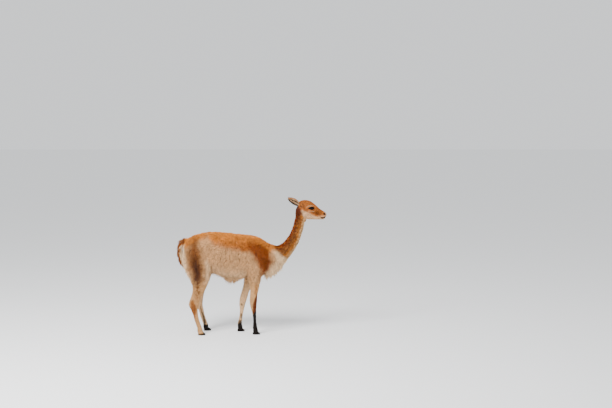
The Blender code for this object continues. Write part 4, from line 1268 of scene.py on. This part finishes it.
# A tuft's shape: its number of sides, how flat it is, its width at each ring for a number of rings, how deep
# its root goes, and the arch and the waves along it
TUFT_SIDES = 3
TUFT_FLATNESS = 0.55
TUFT_WIDTHS = {2: (0.9, 0.8), 3: (0.75, 1.0, 0.62), 4: (0.75, 1.0, 0.9, 0.55)}
ROOT_DEPTH = 0.0012
ARCH = 0.62
ARCH_TOP = 0.8
WAVES = 7

# The painted shade of a tuft, from its darker root to its lighter tip and less dark at the root on the back,
# and the painted shade of the skin under the coat; and how much the tone differs between clumps and between
# tufts
ROOT_SHADE = 0.72
BACK_ROOT_SHADE = 0.86
TIP_SHADE = 1.10
SKIN_SHADE = 0.8
CLUMP_TONE = 0.07
NECK_CLUMP_TONE = 0.13
TUFT_TONE = 0.07

# Where the coat is short, low or thin: low on the trunk, on the muzzle, the nape, the crown and the belly
LOW_TRUNK_Z = (0.42, 0.58)
MUZZLE_X = (0.585, 0.655)
CROWN_Z = (1.165, 1.190)
CROWN_FRONT_X = (0.50, 0.54)
NAPE_BACKWARD = (0.010, 0.075)
BELLY_MIDDLE_X = -0.17
BELLY_HALF_LENGTH = 0.085

# How long, how proud and how clumped the coat is there: its measure where a place's share is 0, and what the
# whole share adds to it
LOW_TRUNK_LENGTH = (0.45, 0.55)
LOW_TRUNK_HEIGHT = (0.3, 0.7)
BACK_LENGTH = (1, -0.15)
BACK_HEIGHT = (1, -0.22)
BACK_DRAW = (1, -0.5)
MUZZLE_LENGTH = (1, -0.50)
MUZZLE_HEIGHT = (1, -0.60)
CROWN_LENGTH = (0, 0.35)
CROWN_HEIGHT = (0, 0.3)
BELOW_NAPE_LENGTH = (0.60, 0.40)
BELOW_NAPE_HEIGHT = (0.50, 0.50)
BELLY_LENGTH = (0.25, 0.75)

# How far from an eye's and a nostril's centre, from the mouth's line and above the floor the skin is bare
EYE_BARE = (EYE_RADIUS + 0.0015, EYE_RADIUS + 0.0035)
NOSTRIL_BARE = (0.006, 0.009)
MOUTH_BARE = (0.0020, 0.0035)
SOLE_BARE = (0.004, 0.008)

# The share of an ear's skin that faces outwards enough for its long hair, and how loosely the main coats meet
EAR_HAIR_FACING = (0.2, 0.5)
COATS_MEET = 0.25
LEAST_SHARE = 0.02

# The unwrap, a piece's greatest number of triangles, where on a tuft its colour is read, how far every tuft
# stays above the floor, and the size and middle of the small patch of each map that a tuft has to itself
UNWRAP_VOXEL = 0.016
UNWRAP_ANGLE = math.radians(66)
UNWRAP_MARGIN = 0.004
PIECE_TRIANGLES = 190000
COLOUR_HEIGHT = 0.6
FLOOR_CLEARANCE = 0.001
BAKE_PATCH = 0.003
BAKE_MIDDLE = (0.4, 0.5)
STRAND_SPREAD = 40


def changed(measure, share):
    """A measure where a place has a share, from its start and from what the whole share adds."""
    start, added = measure
    return start + added * share


def coat_scale(coat, points):
    """How long, how proud and how clumped the coat is at points, against its usual measures."""
    x, z = points[:, 0], points[:, 2]
    even = np.ones(len(points))
    if coat.part in ("trunk", "wisp"):
        back = ramp(z, *BACK_Z)
        low = ramp(z, *LOW_TRUNK_Z)
        length = changed(LOW_TRUNK_LENGTH, low) * changed(BACK_LENGTH, back)
        height = changed(LOW_TRUNK_HEIGHT, low) * changed(BACK_HEIGHT, back)
        return length, height, changed(BACK_DRAW, back)
    if coat.part == "head":
        muzzle = ramp(x, *MUZZLE_X)
        crown = ramp(z, *CROWN_Z) * (1 - ramp(x, *CROWN_FRONT_X))
        length = changed(MUZZLE_LENGTH, muzzle) + changed(CROWN_LENGTH, crown)
        return length, changed(MUZZLE_HEIGHT, muzzle) + changed(CROWN_HEIGHT, crown), even
    if coat.part == "neck":
        below = ramp(-beyond(NAPE, points), *NAPE_BACKWARD)
        return changed(BELOW_NAPE_LENGTH, below), changed(BELOW_NAPE_HEIGHT, below), even
    if coat.part == "belly":
        return changed(BELLY_LENGTH, bell(x - BELLY_MIDDLE_X, BELLY_HALF_LENGTH)), even, even
    return even, even, even


def bare_share(points):
    """Where the skin shows with no hair: round the eyes, in the nostrils and the mouth, and on the soles."""
    left = as_left(points, points)
    to_eye = np.linalg.norm(left - np.array(EYE_CENTRE), axis=1)
    to_nostril = np.linalg.norm(left - np.array(NOSTRIL_CENTRE + NOSTRIL_BARE_SHIFT), axis=1)
    above, along = mouth_line(points)
    places = (
        1 - ramp(to_eye, *EYE_BARE),
        1 - ramp(to_nostril, *NOSTRIL_BARE),
        along * (1 - ramp(np.abs(above), *MOUTH_BARE)),
        1 - ramp(points[:, 2], *SOLE_BARE),
    )
    return np.max(places, axis=0)


def scatter(rng, clump, spreads, axes=()):
    """Random amounts for tufts: each clump's own, and each tuft's own on top."""
    of_clump, of_tuft = spreads
    amounts = of_clump * rng.normal(0, 1, (clump.max() + 1, *axes))[clump]
    return amounts + of_tuft * rng.normal(0, 1, (len(clump), *axes))


def clumps_of(points, spacing):
    """The number of the clump that each tuft belongs to, and the places of the clumps' centres."""
    centres = points[thinned(points, spacing)]
    tree = KDTree(len(centres))
    for k, centre in enumerate(centres):
        tree.insert(centre, k)
    tree.balance()
    return np.array([tree.find(point)[1] for point in points]), centres


def grow(coat, points, normals, lies, rng):
    """The shapes of one kind of coat: for each tuft its centres at a few heights, its width and its frame."""
    count = len(points)
    clump, clump_centres = clumps_of(points, coat.clump)
    lie = lies + scatter(rng, clump, TURNS, (3,))
    lie = unit(lie - normals * np.sum(lie * normals, axis=1, keepdims=True) * (1 - HANG_FREEDOM * coat.hang))
    size = (1 + scatter(rng, clump, LENGTHS)).clip(*LENGTH_RANGE)
    proud = (1 + scatter(rng, clump, HEIGHTS)).clip(*HEIGHT_RANGE)
    longer, prouder, draw = coat_scale(coat, points)
    size, proud = size * longer, proud * prouder
    across = np.cross(lie, normals)
    offset = points - clump_centres[clump]
    offset -= normals * np.sum(offset * normals, axis=1, keepdims=True)
    phase = rng.random(count)[:, None] * 2 * np.pi
    centres = []
    for t in np.linspace(0, 1, coat.rings + 1):
        rise = np.sin(np.pi * ARCH * t) / np.sin(np.pi * ARCH * ARCH_TOP)
        place = points + lie * (coat.length * size * t)[:, None]
        place += normals * (coat.height * proud * rise)[:, None]
        place -= offset * (coat.draw * draw * t**DRAW_POWER)[:, None]
        place += across * (coat.length * coat.wave * t) * np.sin(phase + WAVES * t)
        place[:, 2] -= coat.length * size * coat.hang * HANG_DROP * t * t
        if t == 0:
            place -= normals * ROOT_DEPTH
        centres.append(place)
    width = coat.width * size**0.5 * rng.uniform(*WIDTH_RANGE, count)
    return np.stack(centres, axis=1), width, across, clump


def tuft_arrays(centres, width, across, rings):
    """The points and triangles of many tufts at once."""
    count = len(centres)
    per = rings * TUFT_SIDES + 1
    points = np.empty((count, per, 3))
    for ring in range(rings):
        onward = unit(centres[:, min(ring + 1, rings)] - centres[:, max(ring - 1, 0)])
        side = unit(across - onward * np.sum(across * onward, axis=1, keepdims=True))
        upward = np.cross(side, onward)
        reach = (width * TUFT_WIDTHS[rings][ring] / 2)[:, None]
        for k in range(TUFT_SIDES):
            angle = math.pi / 2 + 2 * math.pi * k / TUFT_SIDES
            corner = side * reach * math.cos(angle) + upward * reach * TUFT_FLATNESS * math.sin(angle)
            points[:, ring * TUFT_SIDES + k] = centres[:, ring] + corner
    points[:, -1] = centres[:, -1]
    faces = [(0, 2, 1)]
    for ring in range(rings - 1):
        for k in range(TUFT_SIDES):
            a, b = ring * TUFT_SIDES + k, ring * TUFT_SIDES + (k + 1) % TUFT_SIDES
            faces += [(a, b, b + TUFT_SIDES), (a, b + TUFT_SIDES, a + TUFT_SIDES)]
    last = (rings - 1) * TUFT_SIDES
    faces += [(last + k, last + (k + 1) % TUFT_SIDES, per - 1) for k in range(TUFT_SIDES)]
    all_faces = np.array(faces)[None] + (np.arange(count) * per)[:, None, None]
    return points, all_faces.reshape(-1, 3)


def array_mesh(name, points, faces):
    """A mesh of triangles from arrays."""
    mesh = bpy.data.meshes.new(name)
    mesh.vertices.add(len(points))
    mesh.vertices.foreach_set("co", points.astype(np.float32).ravel())
    mesh.loops.add(faces.size)
    mesh.loops.foreach_set("vertex_index", faces.astype(np.int32).ravel())
    mesh.polygons.add(len(faces))
    mesh.polygons.foreach_set("loop_start", np.arange(len(faces), dtype=np.int32) * 3)
    mesh.update(calc_edges=True)
    mesh.shade_smooth()
    return mesh


def set_colour(mesh, colours):
    """Gives a mesh the colour of its coat at each point."""
    layer = mesh.color_attributes.new("coat", "FLOAT_COLOR", "POINT")
    values = np.ones((len(mesh.vertices), 4), np.float32)
    values[:, :3] = colours
    layer.data.foreach_set("color", values.ravel())


def set_map(mesh, name, faces, values):
    """Gives a mesh a UV map from values at its points."""
    layer = mesh.uv_layers.new(name=name)
    layer.data.foreach_set("uv", values[faces.ravel()].astype(np.float32).ravel())


def unwrap_of(mesh):
    """A coarse copy of the skin with an unwrap of its own shape, as triangles in space and on the map."""
    coarse = linked(remeshed(mesh.copy(), UNWRAP_VOXEL, rounds=0), "unwrap")
    for other in bpy.context.selected_objects:
        other.select_set(False)
    bpy.context.view_layer.objects.active = coarse
    coarse.select_set(True)
    bpy.ops.object.mode_set(mode="EDIT")
    bpy.ops.mesh.select_all(action="SELECT")
    bpy.ops.uv.smart_project(angle_limit=UNWRAP_ANGLE, island_margin=UNWRAP_MARGIN)
    bpy.ops.object.mode_set(mode="OBJECT")
    data = coarse.data
    data.calc_loop_triangles()
    corners = [tuple(triangle.vertices) for triangle in data.loop_triangles]
    layer = data.uv_layers.active.data
    maps = [[layer[k].uv.to_3d() for k in triangle.loops] for triangle in data.loop_triangles]
    places = [vertex.co.copy() for vertex in data.vertices]
    tree = BVHTree.FromPolygons(places, corners)
    bpy.data.objects.remove(coarse)
    return tree, places, corners, maps


def map_places(unwrap, points):
    """Where points of the skin lie on its unwrap."""
    tree, places, corners, maps = unwrap
    found = np.empty((len(points), 2))
    for k, point in enumerate(points):
        nearest, _, number, _ = tree.find_nearest(Vector(point))
        a, b, c = (places[i] for i in corners[number])
        spot = barycentric_transform(nearest, a, b, c, *maps[number])
        found[k] = spot.x, spot.y
    return found


def coat_roots(coat, points, shares, chosen, rng):
    """The numbers of the points where tufts of a coat grow. The main coats grow where they were chosen."""
    if coat in COATS:
        own = np.flatnonzero(chosen == COATS.index(coat))
    else:
        own = np.flatnonzero(shares[coat.part] > rng.random(len(points)))
    own = own[rng.permutation(len(own))]
    own = own[thinned(points[own], coat.spacing)]
    return own[bare_share(points[own]) < rng.random(len(own))]


def coat_piece(name, coat, roots, centres, width, across, colour, spots, shift, rng):
    """One piece of coat: its tufts with their painted shade from root to tip, and their two maps."""
    tufts, faces = tuft_arrays(centres, width, across, coat.rings)
    built = array_mesh(name, (tufts + np.array(shift)).reshape(-1, 3), faces)
    level = np.append(np.repeat(np.arange(coat.rings), TUFT_SIDES), coat.rings) / coat.rings
    # Painted shade: each tuft is darker at its root, less so on the back, and lighter at its tip
    root = ROOT_SHADE + (BACK_ROOT_SHADE - ROOT_SHADE) * ramp(roots[:, 2:3], *BACK_Z)
    shade = root + (TIP_SHADE - root) * level[None]
    set_colour(built, (colour[:, None] * shade[:, :, None]).reshape(-1, 3))
    around = np.append(np.tile(np.arange(TUFT_SIDES), coat.rings), 1.0) / TUFT_SIDES
    patch = (np.stack([around, level], axis=1) - BAKE_MIDDLE) * BAKE_PATCH
    set_map(built, "OFBake", faces, (spots[:, None] + patch[None]).reshape(-1, 2))
    strand = np.stack([around, level], axis=1)[None] + rng.random((len(roots), 1, 2)) * STRAND_SPREAD
    set_map(built, "strand", faces, strand.reshape(-1, 2))
    return linked(built, name)


def build_coat(mesh, shift):
    """Covers the skin with tufts, in pieces of a bounded size."""
    rng = np.random.default_rng(SEED)
    points, normals = skin_samples(mesh, SAMPLE_COUNT, rng)
    unwrap = unwrap_of(mesh)
    shares = body_shares(points)
    shares["ear_hair"] = shares["ear"] * ramp(ear_opening(points, normals), *EAR_HAIR_FACING)
    table = np.stack([shares[coat.part] for coat in COATS], axis=1)
    chosen = np.argmax(table + COATS_MEET * rng.random(table.shape) * (table > LEAST_SHARE), axis=1)
    fur = fur_material()
    for coat in COATS + LOOSE_COATS:
        own = coat_roots(coat, points, shares, chosen, rng)
        lies = coat_lie(points[own], {name: share[own] for name, share in shares.items()})
        grown = grow(coat, points[own], normals[own], lies, rng)
        above = grown[0][:, :, 2].min(axis=1) >= FLOOR_CLEARANCE
        centres, width, across, clump, place, normal = (
            values[above] for values in (*grown, points[own], normals[own])
        )
        colour = coat_colour(mix(centres[:, 0], centres[:, -1], COLOUR_HEIGHT), normal)
        tones = (NECK_CLUMP_TONE if coat.part == "neck" else CLUMP_TONE, TUFT_TONE)
        colour = np.clip(colour * (1 + scatter(rng, clump, tones))[:, None], 0, 1)
        spots = map_places(unwrap, place)
        order = np.argsort(place[:, 0], kind="stable")
        triangles = 1 + 2 * TUFT_SIDES * (coat.rings - 1) + TUFT_SIDES
        pieces = max(1, math.ceil(len(order) * triangles / PIECE_TRIANGLES))
        for piece, numbers in enumerate(np.array_split(order, pieces)):
            rows = (values[numbers] for values in (place, centres, width, across, colour, spots))
            thing = coat_piece(f"coat_{coat.part}_{piece + 1}", coat, *rows, shift, rng)
            thing.data.materials.append(fur)
            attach(thing, "root")


# The finish of the coat, the horn and the lashes, with each one's grain: how often it repeats along each axis
# of its map or of its object
FUR_ROUGHNESS = 0.85
FUR_SHEEN = 0.06
SKIN_SHEEN = 0.05
FUR_SPECULAR = 0.06
STRAND_STRETCH = (5.0, 1.4, 1.0)
SKIN_GRAIN = (700.0, 700.0, 700.0)
HORN_COLOURS = ((0.006, 0.005, 0.004), (0.030, 0.023, 0.018))
HORN_GRAIN = (900, 160, 160)
LASH_COLOURS = ((0.006, 0.004, 0.003), (0.030, 0.018, 0.011))
LASH_GRAIN = (260, 260, 260)
GRAIN_SPAN = (0.35, 0.75)


def plain_material(name, colour, roughness, specular, sheen=0.0):
    """A material of one colour."""
    material = bpy.data.materials.new(name)
    material.use_nodes = True
    shader = material.node_tree.nodes["Principled BSDF"]
    shader.inputs["Base Color"].default_value = (*colour, 1)
    shader.inputs["Roughness"].default_value = roughness
    shader.inputs["Specular IOR Level"].default_value = specular
    shader.inputs["Sheen Weight"].default_value = sheen
    return material


def new_node(material, kind, **inputs):
    """A new node of a material with values for its inputs, in whose names a low line stands for a space."""
    node = material.node_tree.nodes.new(kind)
    for name, value in inputs.items():
        node.inputs[name.replace("_", " ")].default_value = value
    return node


def painted_colour(material):
    """The colour that is kept at each point of a mesh, as an output of a material's nodes."""
    colour = new_node(material, "ShaderNodeAttribute")
    colour.attribute_name = "coat"
    return colour.outputs["Color"]


def add_grain(material, place, stretch, detail, strength, distance):
    """Raises fine grain on a material, and gives the grain's own output."""
    links = material.node_tree.links
    mapping = new_node(material, "ShaderNodeMapping", Scale=stretch)
    grain = new_node(material, "ShaderNodeTexNoise", Scale=1.0, Detail=detail)
    bump = new_node(material, "ShaderNodeBump", Strength=strength, Distance=distance)
    links.new(place, mapping.inputs["Vector"])
    links.new(mapping.outputs["Vector"], grain.inputs["Vector"])
    links.new(grain.outputs["Fac"], bump.inputs["Height"])
    links.new(bump.outputs["Normal"], material.node_tree.nodes["Principled BSDF"].inputs["Normal"])
    return grain.outputs["Fac"]


def shade_by_grain(material, grain, darkest, lightest):
    """Colours a material with its mesh's own colour, darker and lighter by the grain."""
    links = material.node_tree.links
    span = new_node(material, "ShaderNodeMapRange", From_Min=0.3, From_Max=0.7)
    span.inputs["To Min"].default_value = darkest
    span.inputs["To Max"].default_value = lightest
    scale = new_node(material, "ShaderNodeVectorMath")
    scale.operation = "SCALE"
    links.new(grain, span.inputs["Value"])
    links.new(painted_colour(material), scale.inputs[0])
    links.new(span.outputs["Result"], scale.inputs["Scale"])
    links.new(scale.outputs["Vector"], material.node_tree.nodes["Principled BSDF"].inputs["Base Color"])


def fur_material():
    """Hair: the coat's own colour with fine streaks along each tuft."""
    material = plain_material("fur", (1, 1, 1), FUR_ROUGHNESS, FUR_SPECULAR, FUR_SHEEN)
    strand = new_node(material, "ShaderNodeUVMap")
    strand.uv_map = "strand"
    grain = add_grain(material, strand.outputs["UV"], STRAND_STRETCH, detail=2, strength=0.5, distance=0.0008)
    shade_by_grain(material, grain, darkest=0.72, lightest=1.18)
    return material


def skin_material():
    """The skin under the coat: the coat's colour, darkened as painted shade, with a fine grain of short hair.
    """
    material = plain_material("short_coat", (1, 1, 1), FUR_ROUGHNESS, FUR_SPECULAR, SKIN_SHEEN)
    place = new_node(material, "ShaderNodeTexCoord").outputs["Object"]
    grain = add_grain(material, place, SKIN_GRAIN, detail=3, strength=0.6, distance=0.0006)
    shade_by_grain(material, grain, darkest=0.70, lightest=1.10)
    return material


def grained_material(name, colours, roughness, specular, stretch):
    """A material with fine lines, between a darkest and a lightest colour."""
    material = plain_material(name, colours[0], roughness, specular)
    place = new_node(material, "ShaderNodeTexCoord").outputs["Object"]
    grain = add_grain(material, place, stretch, detail=2, strength=0.35, distance=0.0005)
    span = new_node(material, "ShaderNodeValToRGB")
    for element, position, colour in zip(span.color_ramp.elements, GRAIN_SPAN, colours):
        element.position = position
        element.color = (*colour, 1)
    links = material.node_tree.links
    links.new(grain, span.inputs["Fac"])
    links.new(span.outputs["Color"], material.node_tree.nodes["Principled BSDF"].inputs["Base Color"])
    return material


def eye_material():
    """A wet eyeball, in the colours of its mesh."""
    material = plain_material("eye", (0, 0, 0), roughness=0.08, specular=0.10)
    shader = material.node_tree.nodes["Principled BSDF"]
    material.node_tree.links.new(painted_colour(material), shader.inputs["Base Color"])
    return material


# The eye's colours from the middle outwards, and where one passes into the next as shares of its radius
PUPIL = np.array((0.001, 0.001, 0.001))
PUPIL_HALF_SIZE = (0.38, 0.22)
PUPIL_EDGE = (0.9, 1.1)
IRIS = (20, 10, 6)
IRIS_FIBRES = 0.25
IRIS_FIBRE_STRETCH = (3, 0.4, 0)
IRIS_DARKENING = (0.42, 0.66)
IRIS_EDGE = (7, 5, 4)
EYE_SKIN_EDGE = (0.72, 0.80)
EYE_SKIN = (22, 14, 11)
CORNEA_RADIUS_SHARE = 0.62
CORNEA_HEIGHT = 0.0009

# The lashes: their number and size, the lid's curve that they stand on, and how they point, differ and curl
LASH_COUNT = 44
LASH_LENGTH = 0.0105
LASH_WIDTH = 0.0009
LASH_RINGS = 3
LASH_REACH = 0.0175
LASH_HEIGHT = 0.0118
LASH_ROOT_RADIUS = EYE_RADIUS + 0.0016
LASH_WAY = (0.95, 0.75, 0.10)
LASH_SCATTER = (-0.015, 0.015)
LASH_TURN = 0.06
LASH_SHORTENING = 0.35
LASH_LENGTHS = (0.8, 1.15)
LASH_CURL = 0.45
LASH_DROOP = 0.25
LID_ARCH = 0.82


def eye_colours(points):
    """The colours of an eyeball at points of its own frame, where it looks along +X."""
    across, up = points[:, 1] / EYE_RADIUS, points[:, 2] / EYE_RADIUS
    off = np.hypot(across, up)
    around = np.stack([np.arctan2(up, across), off, off], axis=1) * IRIS_FIBRE_STRETCH
    fibres = IRIS_FIBRES * noise(around, size=0.30, seed=13)
    colours = mix(linear(IRIS), linear(IRIS_EDGE), ramp(off, *IRIS_DARKENING)) * (1 + fibres)[:, None]
    colours = mix(colours, linear(EYE_SKIN), ramp(off, *EYE_SKIN_EDGE))
    wide, tall = PUPIL_HALF_SIZE
    return mix(colours, PUPIL, 1 - ramp(np.hypot(across / wide, up / tall), *PUPIL_EDGE))


def eyeball_mesh():
    """An eyeball in its own frame, with a slightly raised cornea."""
    mesh = ball_mesh(Vector((0, 0, 0)), (EYE_RADIUS,) * 3, segments=96, rings=64)
    points, _ = mesh_points(mesh)
    set_colour(mesh, eye_colours(points))
    off = np.hypot(points[:, 1], points[:, 2]) / EYE_RADIUS
    raised = np.sqrt(np.clip(1 - (off / CORNEA_RADIUS_SHARE) ** 2, 0, 1))
    points[:, 0] += CORNEA_HEIGHT * raised * (points[:, 0] > 0)
    set_points(mesh, points)
    mesh.shade_smooth()
    return mesh


def lashes_mesh(name, rng):
    """The lashes of an upper lid in the eye's own frame, whose +Z points down."""
    share = np.linspace(-1, 1, LASH_COUNT) + rng.uniform(*LASH_SCATTER, LASH_COUNT)
    across = LASH_REACH * share
    up = LASH_HEIGHT * np.sqrt(np.clip(1 - LID_ARCH * share**2, 0.05, 1))
    out = np.sqrt(np.maximum(LASH_ROOT_RADIUS**2 - across**2 - up**2, 1e-6))
    root = np.stack([out, across, up], axis=1)
    outwards, sideways, upwards = LASH_WAY
    way = unit(ways(root, outwards, sideways * share, upwards))
    way = unit(way + rng.normal(0, LASH_TURN, (LASH_COUNT, 3)))
    length = LASH_LENGTH * (1 - LASH_SHORTENING * share**2) * rng.uniform(*LASH_LENGTHS, LASH_COUNT)
    up_axis = np.array((0, 0, 1.0))
    centres = []
    for t in np.linspace(0, 1, LASH_RINGS + 1):
        curl = length * (LASH_CURL * t * t - LASH_DROOP * t)
        centres.append(root + way * (length * t)[:, None] + up_axis * curl[:, None])
    centres = np.stack(centres, axis=1) * (1, 1, -1)
    flat = unit(np.cross(way, up_axis))
    tufts, faces = tuft_arrays(centres, np.full(LASH_COUNT, LASH_WIDTH), flat, LASH_RINGS)
    return array_mesh(name, tufts.reshape(-1, 3), faces)


def build_eyes(shift):
    """The eyeballs, and the lashes of the upper lids."""
    wet = eye_material()
    hair = grained_material("lash", LASH_COLOURS, roughness=0.5, specular=0.3, stretch=LASH_GRAIN)
    rng = np.random.default_rng(SEED + 1)
    for side in ("left", "right"):
        place = Matrix.Translation(mirrored(EYE_CENTRE, side) + shift) @ eye_turn(side)
        eye = linked(eyeball_mesh(), f"eyeball_{side}")
        eye.data.transform(place)
        eye.data.materials.append(wet)
        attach(eye, "root")
        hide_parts(f"eye_{side}")
        lashes = linked(lashes_mesh(f"lashes_{side}", rng), f"lashes_{side}")
        lashes.data.transform(place)
        lashes.data.materials.append(hair)
        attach(lashes, "root")


def build_nails(leg_ends, shift):
    """A curved nail in front of each toe."""
    horn = grained_material("horn", HORN_COLOURS, roughness=0.48, specular=0.22, stretch=HORN_GRAIN)
    toe_length = TOE_SIZES[-1][0]
    for place, side, fetlock in leg_ends:
        for turn, name in ((-1, "inner"), (1, "outer")):
            rings = []
            for distance, height, half_width, floor in NAIL_SIZES:
                x, y = toe_place(place, side, fetlock, turn, toe_length + distance)
                rings.append(toe_ring(x, y, height, half_width, floor))
            nail = linked(skin_rings(rings), f"claw_{place}_{side}_{name}")
            nail.data.transform(Matrix.Translation(shift))
            nail.data.materials.append(horn)
            nail.data.shade_smooth()
            rounded = nail.modifiers.new("rounded", "SUBSURF")
            rounded.levels = rounded.render_levels = 1
            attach(nail, "root")
            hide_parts(f"nail_{place}_{side}_{name}")


# The stage, the light and the camera
FLOOR_HALF = 60.0
FLOOR_COLOUR = (0.93, 0.93, 0.93)
SKY_COLOUR = (0.86, 0.88, 0.90, 1)
SKY_STRENGTH = 1.2
LAMP_PLACE = Vector((-2.5, -4.5, 5.0))
LAMP_TARGET = Vector((0, 0, 0.6))
LAMP_POWER = 850
LAMP_SIZE = 3.0
CAMERA_PLACE = (0.487, -10.6, 1.94)
CAMERA_DOWN = math.radians(4.2)
CAMERA_LENS = 70.0
CAMERA_SENSOR = 36.0


def build_stage():
    """A pale floor under a pale sky, one soft lamp, and the camera at the photo's place."""
    floor = bpy.data.meshes.new("floor")
    corners = [(x * FLOOR_HALF, y * FLOOR_HALF, 0) for x, y in ((-1, -1), (1, -1), (1, 1), (-1, 1))]
    floor.from_pydata(corners, [], [(0, 1, 2, 3)])
    floor.materials.append(plain_material("floor", FLOOR_COLOUR, roughness=1.0, specular=0.0))
    stage = linked(floor, "floor")
    scene = bpy.context.scene
    scene.world = bpy.data.worlds.new("studio")
    scene.world.use_nodes = True
    sky = scene.world.node_tree.nodes["Background"]
    sky.inputs["Color"].default_value = SKY_COLOUR
    sky.inputs["Strength"].default_value = SKY_STRENGTH
    lamp = bpy.data.lights.new("key", "AREA")
    lamp.energy, lamp.size = LAMP_POWER, LAMP_SIZE
    key = linked(lamp, "key")
    key.location = LAMP_PLACE
    key.rotation_euler = (LAMP_TARGET - LAMP_PLACE).to_track_quat("-Z", "Y").to_euler()
    lens = bpy.data.cameras.new("camera")
    lens.lens, lens.sensor_width = CAMERA_LENS, CAMERA_SENSOR
    scene.camera = linked(lens, "camera")
    scene.camera.location = CAMERA_PLACE
    scene.camera.rotation_euler = (math.radians(90) - CAMERA_DOWN, 0, 0)


def main():
    """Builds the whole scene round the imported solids."""
    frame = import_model()
    low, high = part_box("head")
    shift = Vector((high.x - NOSE_TIP_X, (low.y + high.y) / 2, 0))
    skin_mesh, leg_ends = build_skin()
    points, normals = mesh_points(skin_mesh)
    # The skin under the coat is darkened, a painted shade among the roots of the tufts
    set_colour(skin_mesh, coat_colour(points, normals) * SKIN_SHADE)
    build_coat(skin_mesh, shift)
    skin = linked(skin_mesh, "skin")
    skin_mesh.transform(Matrix.Translation(shift))
    skin_mesh.shade_smooth()
    skin_mesh.materials.clear()
    skin_mesh.materials.append(skin_material())
    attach(skin, "root")
    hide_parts(*[name for name in frame["nodes"] if not name.startswith(("eye", "nail"))])
    build_eyes(shift)
    build_nails(leg_ends, shift)
    build_stage()


main()
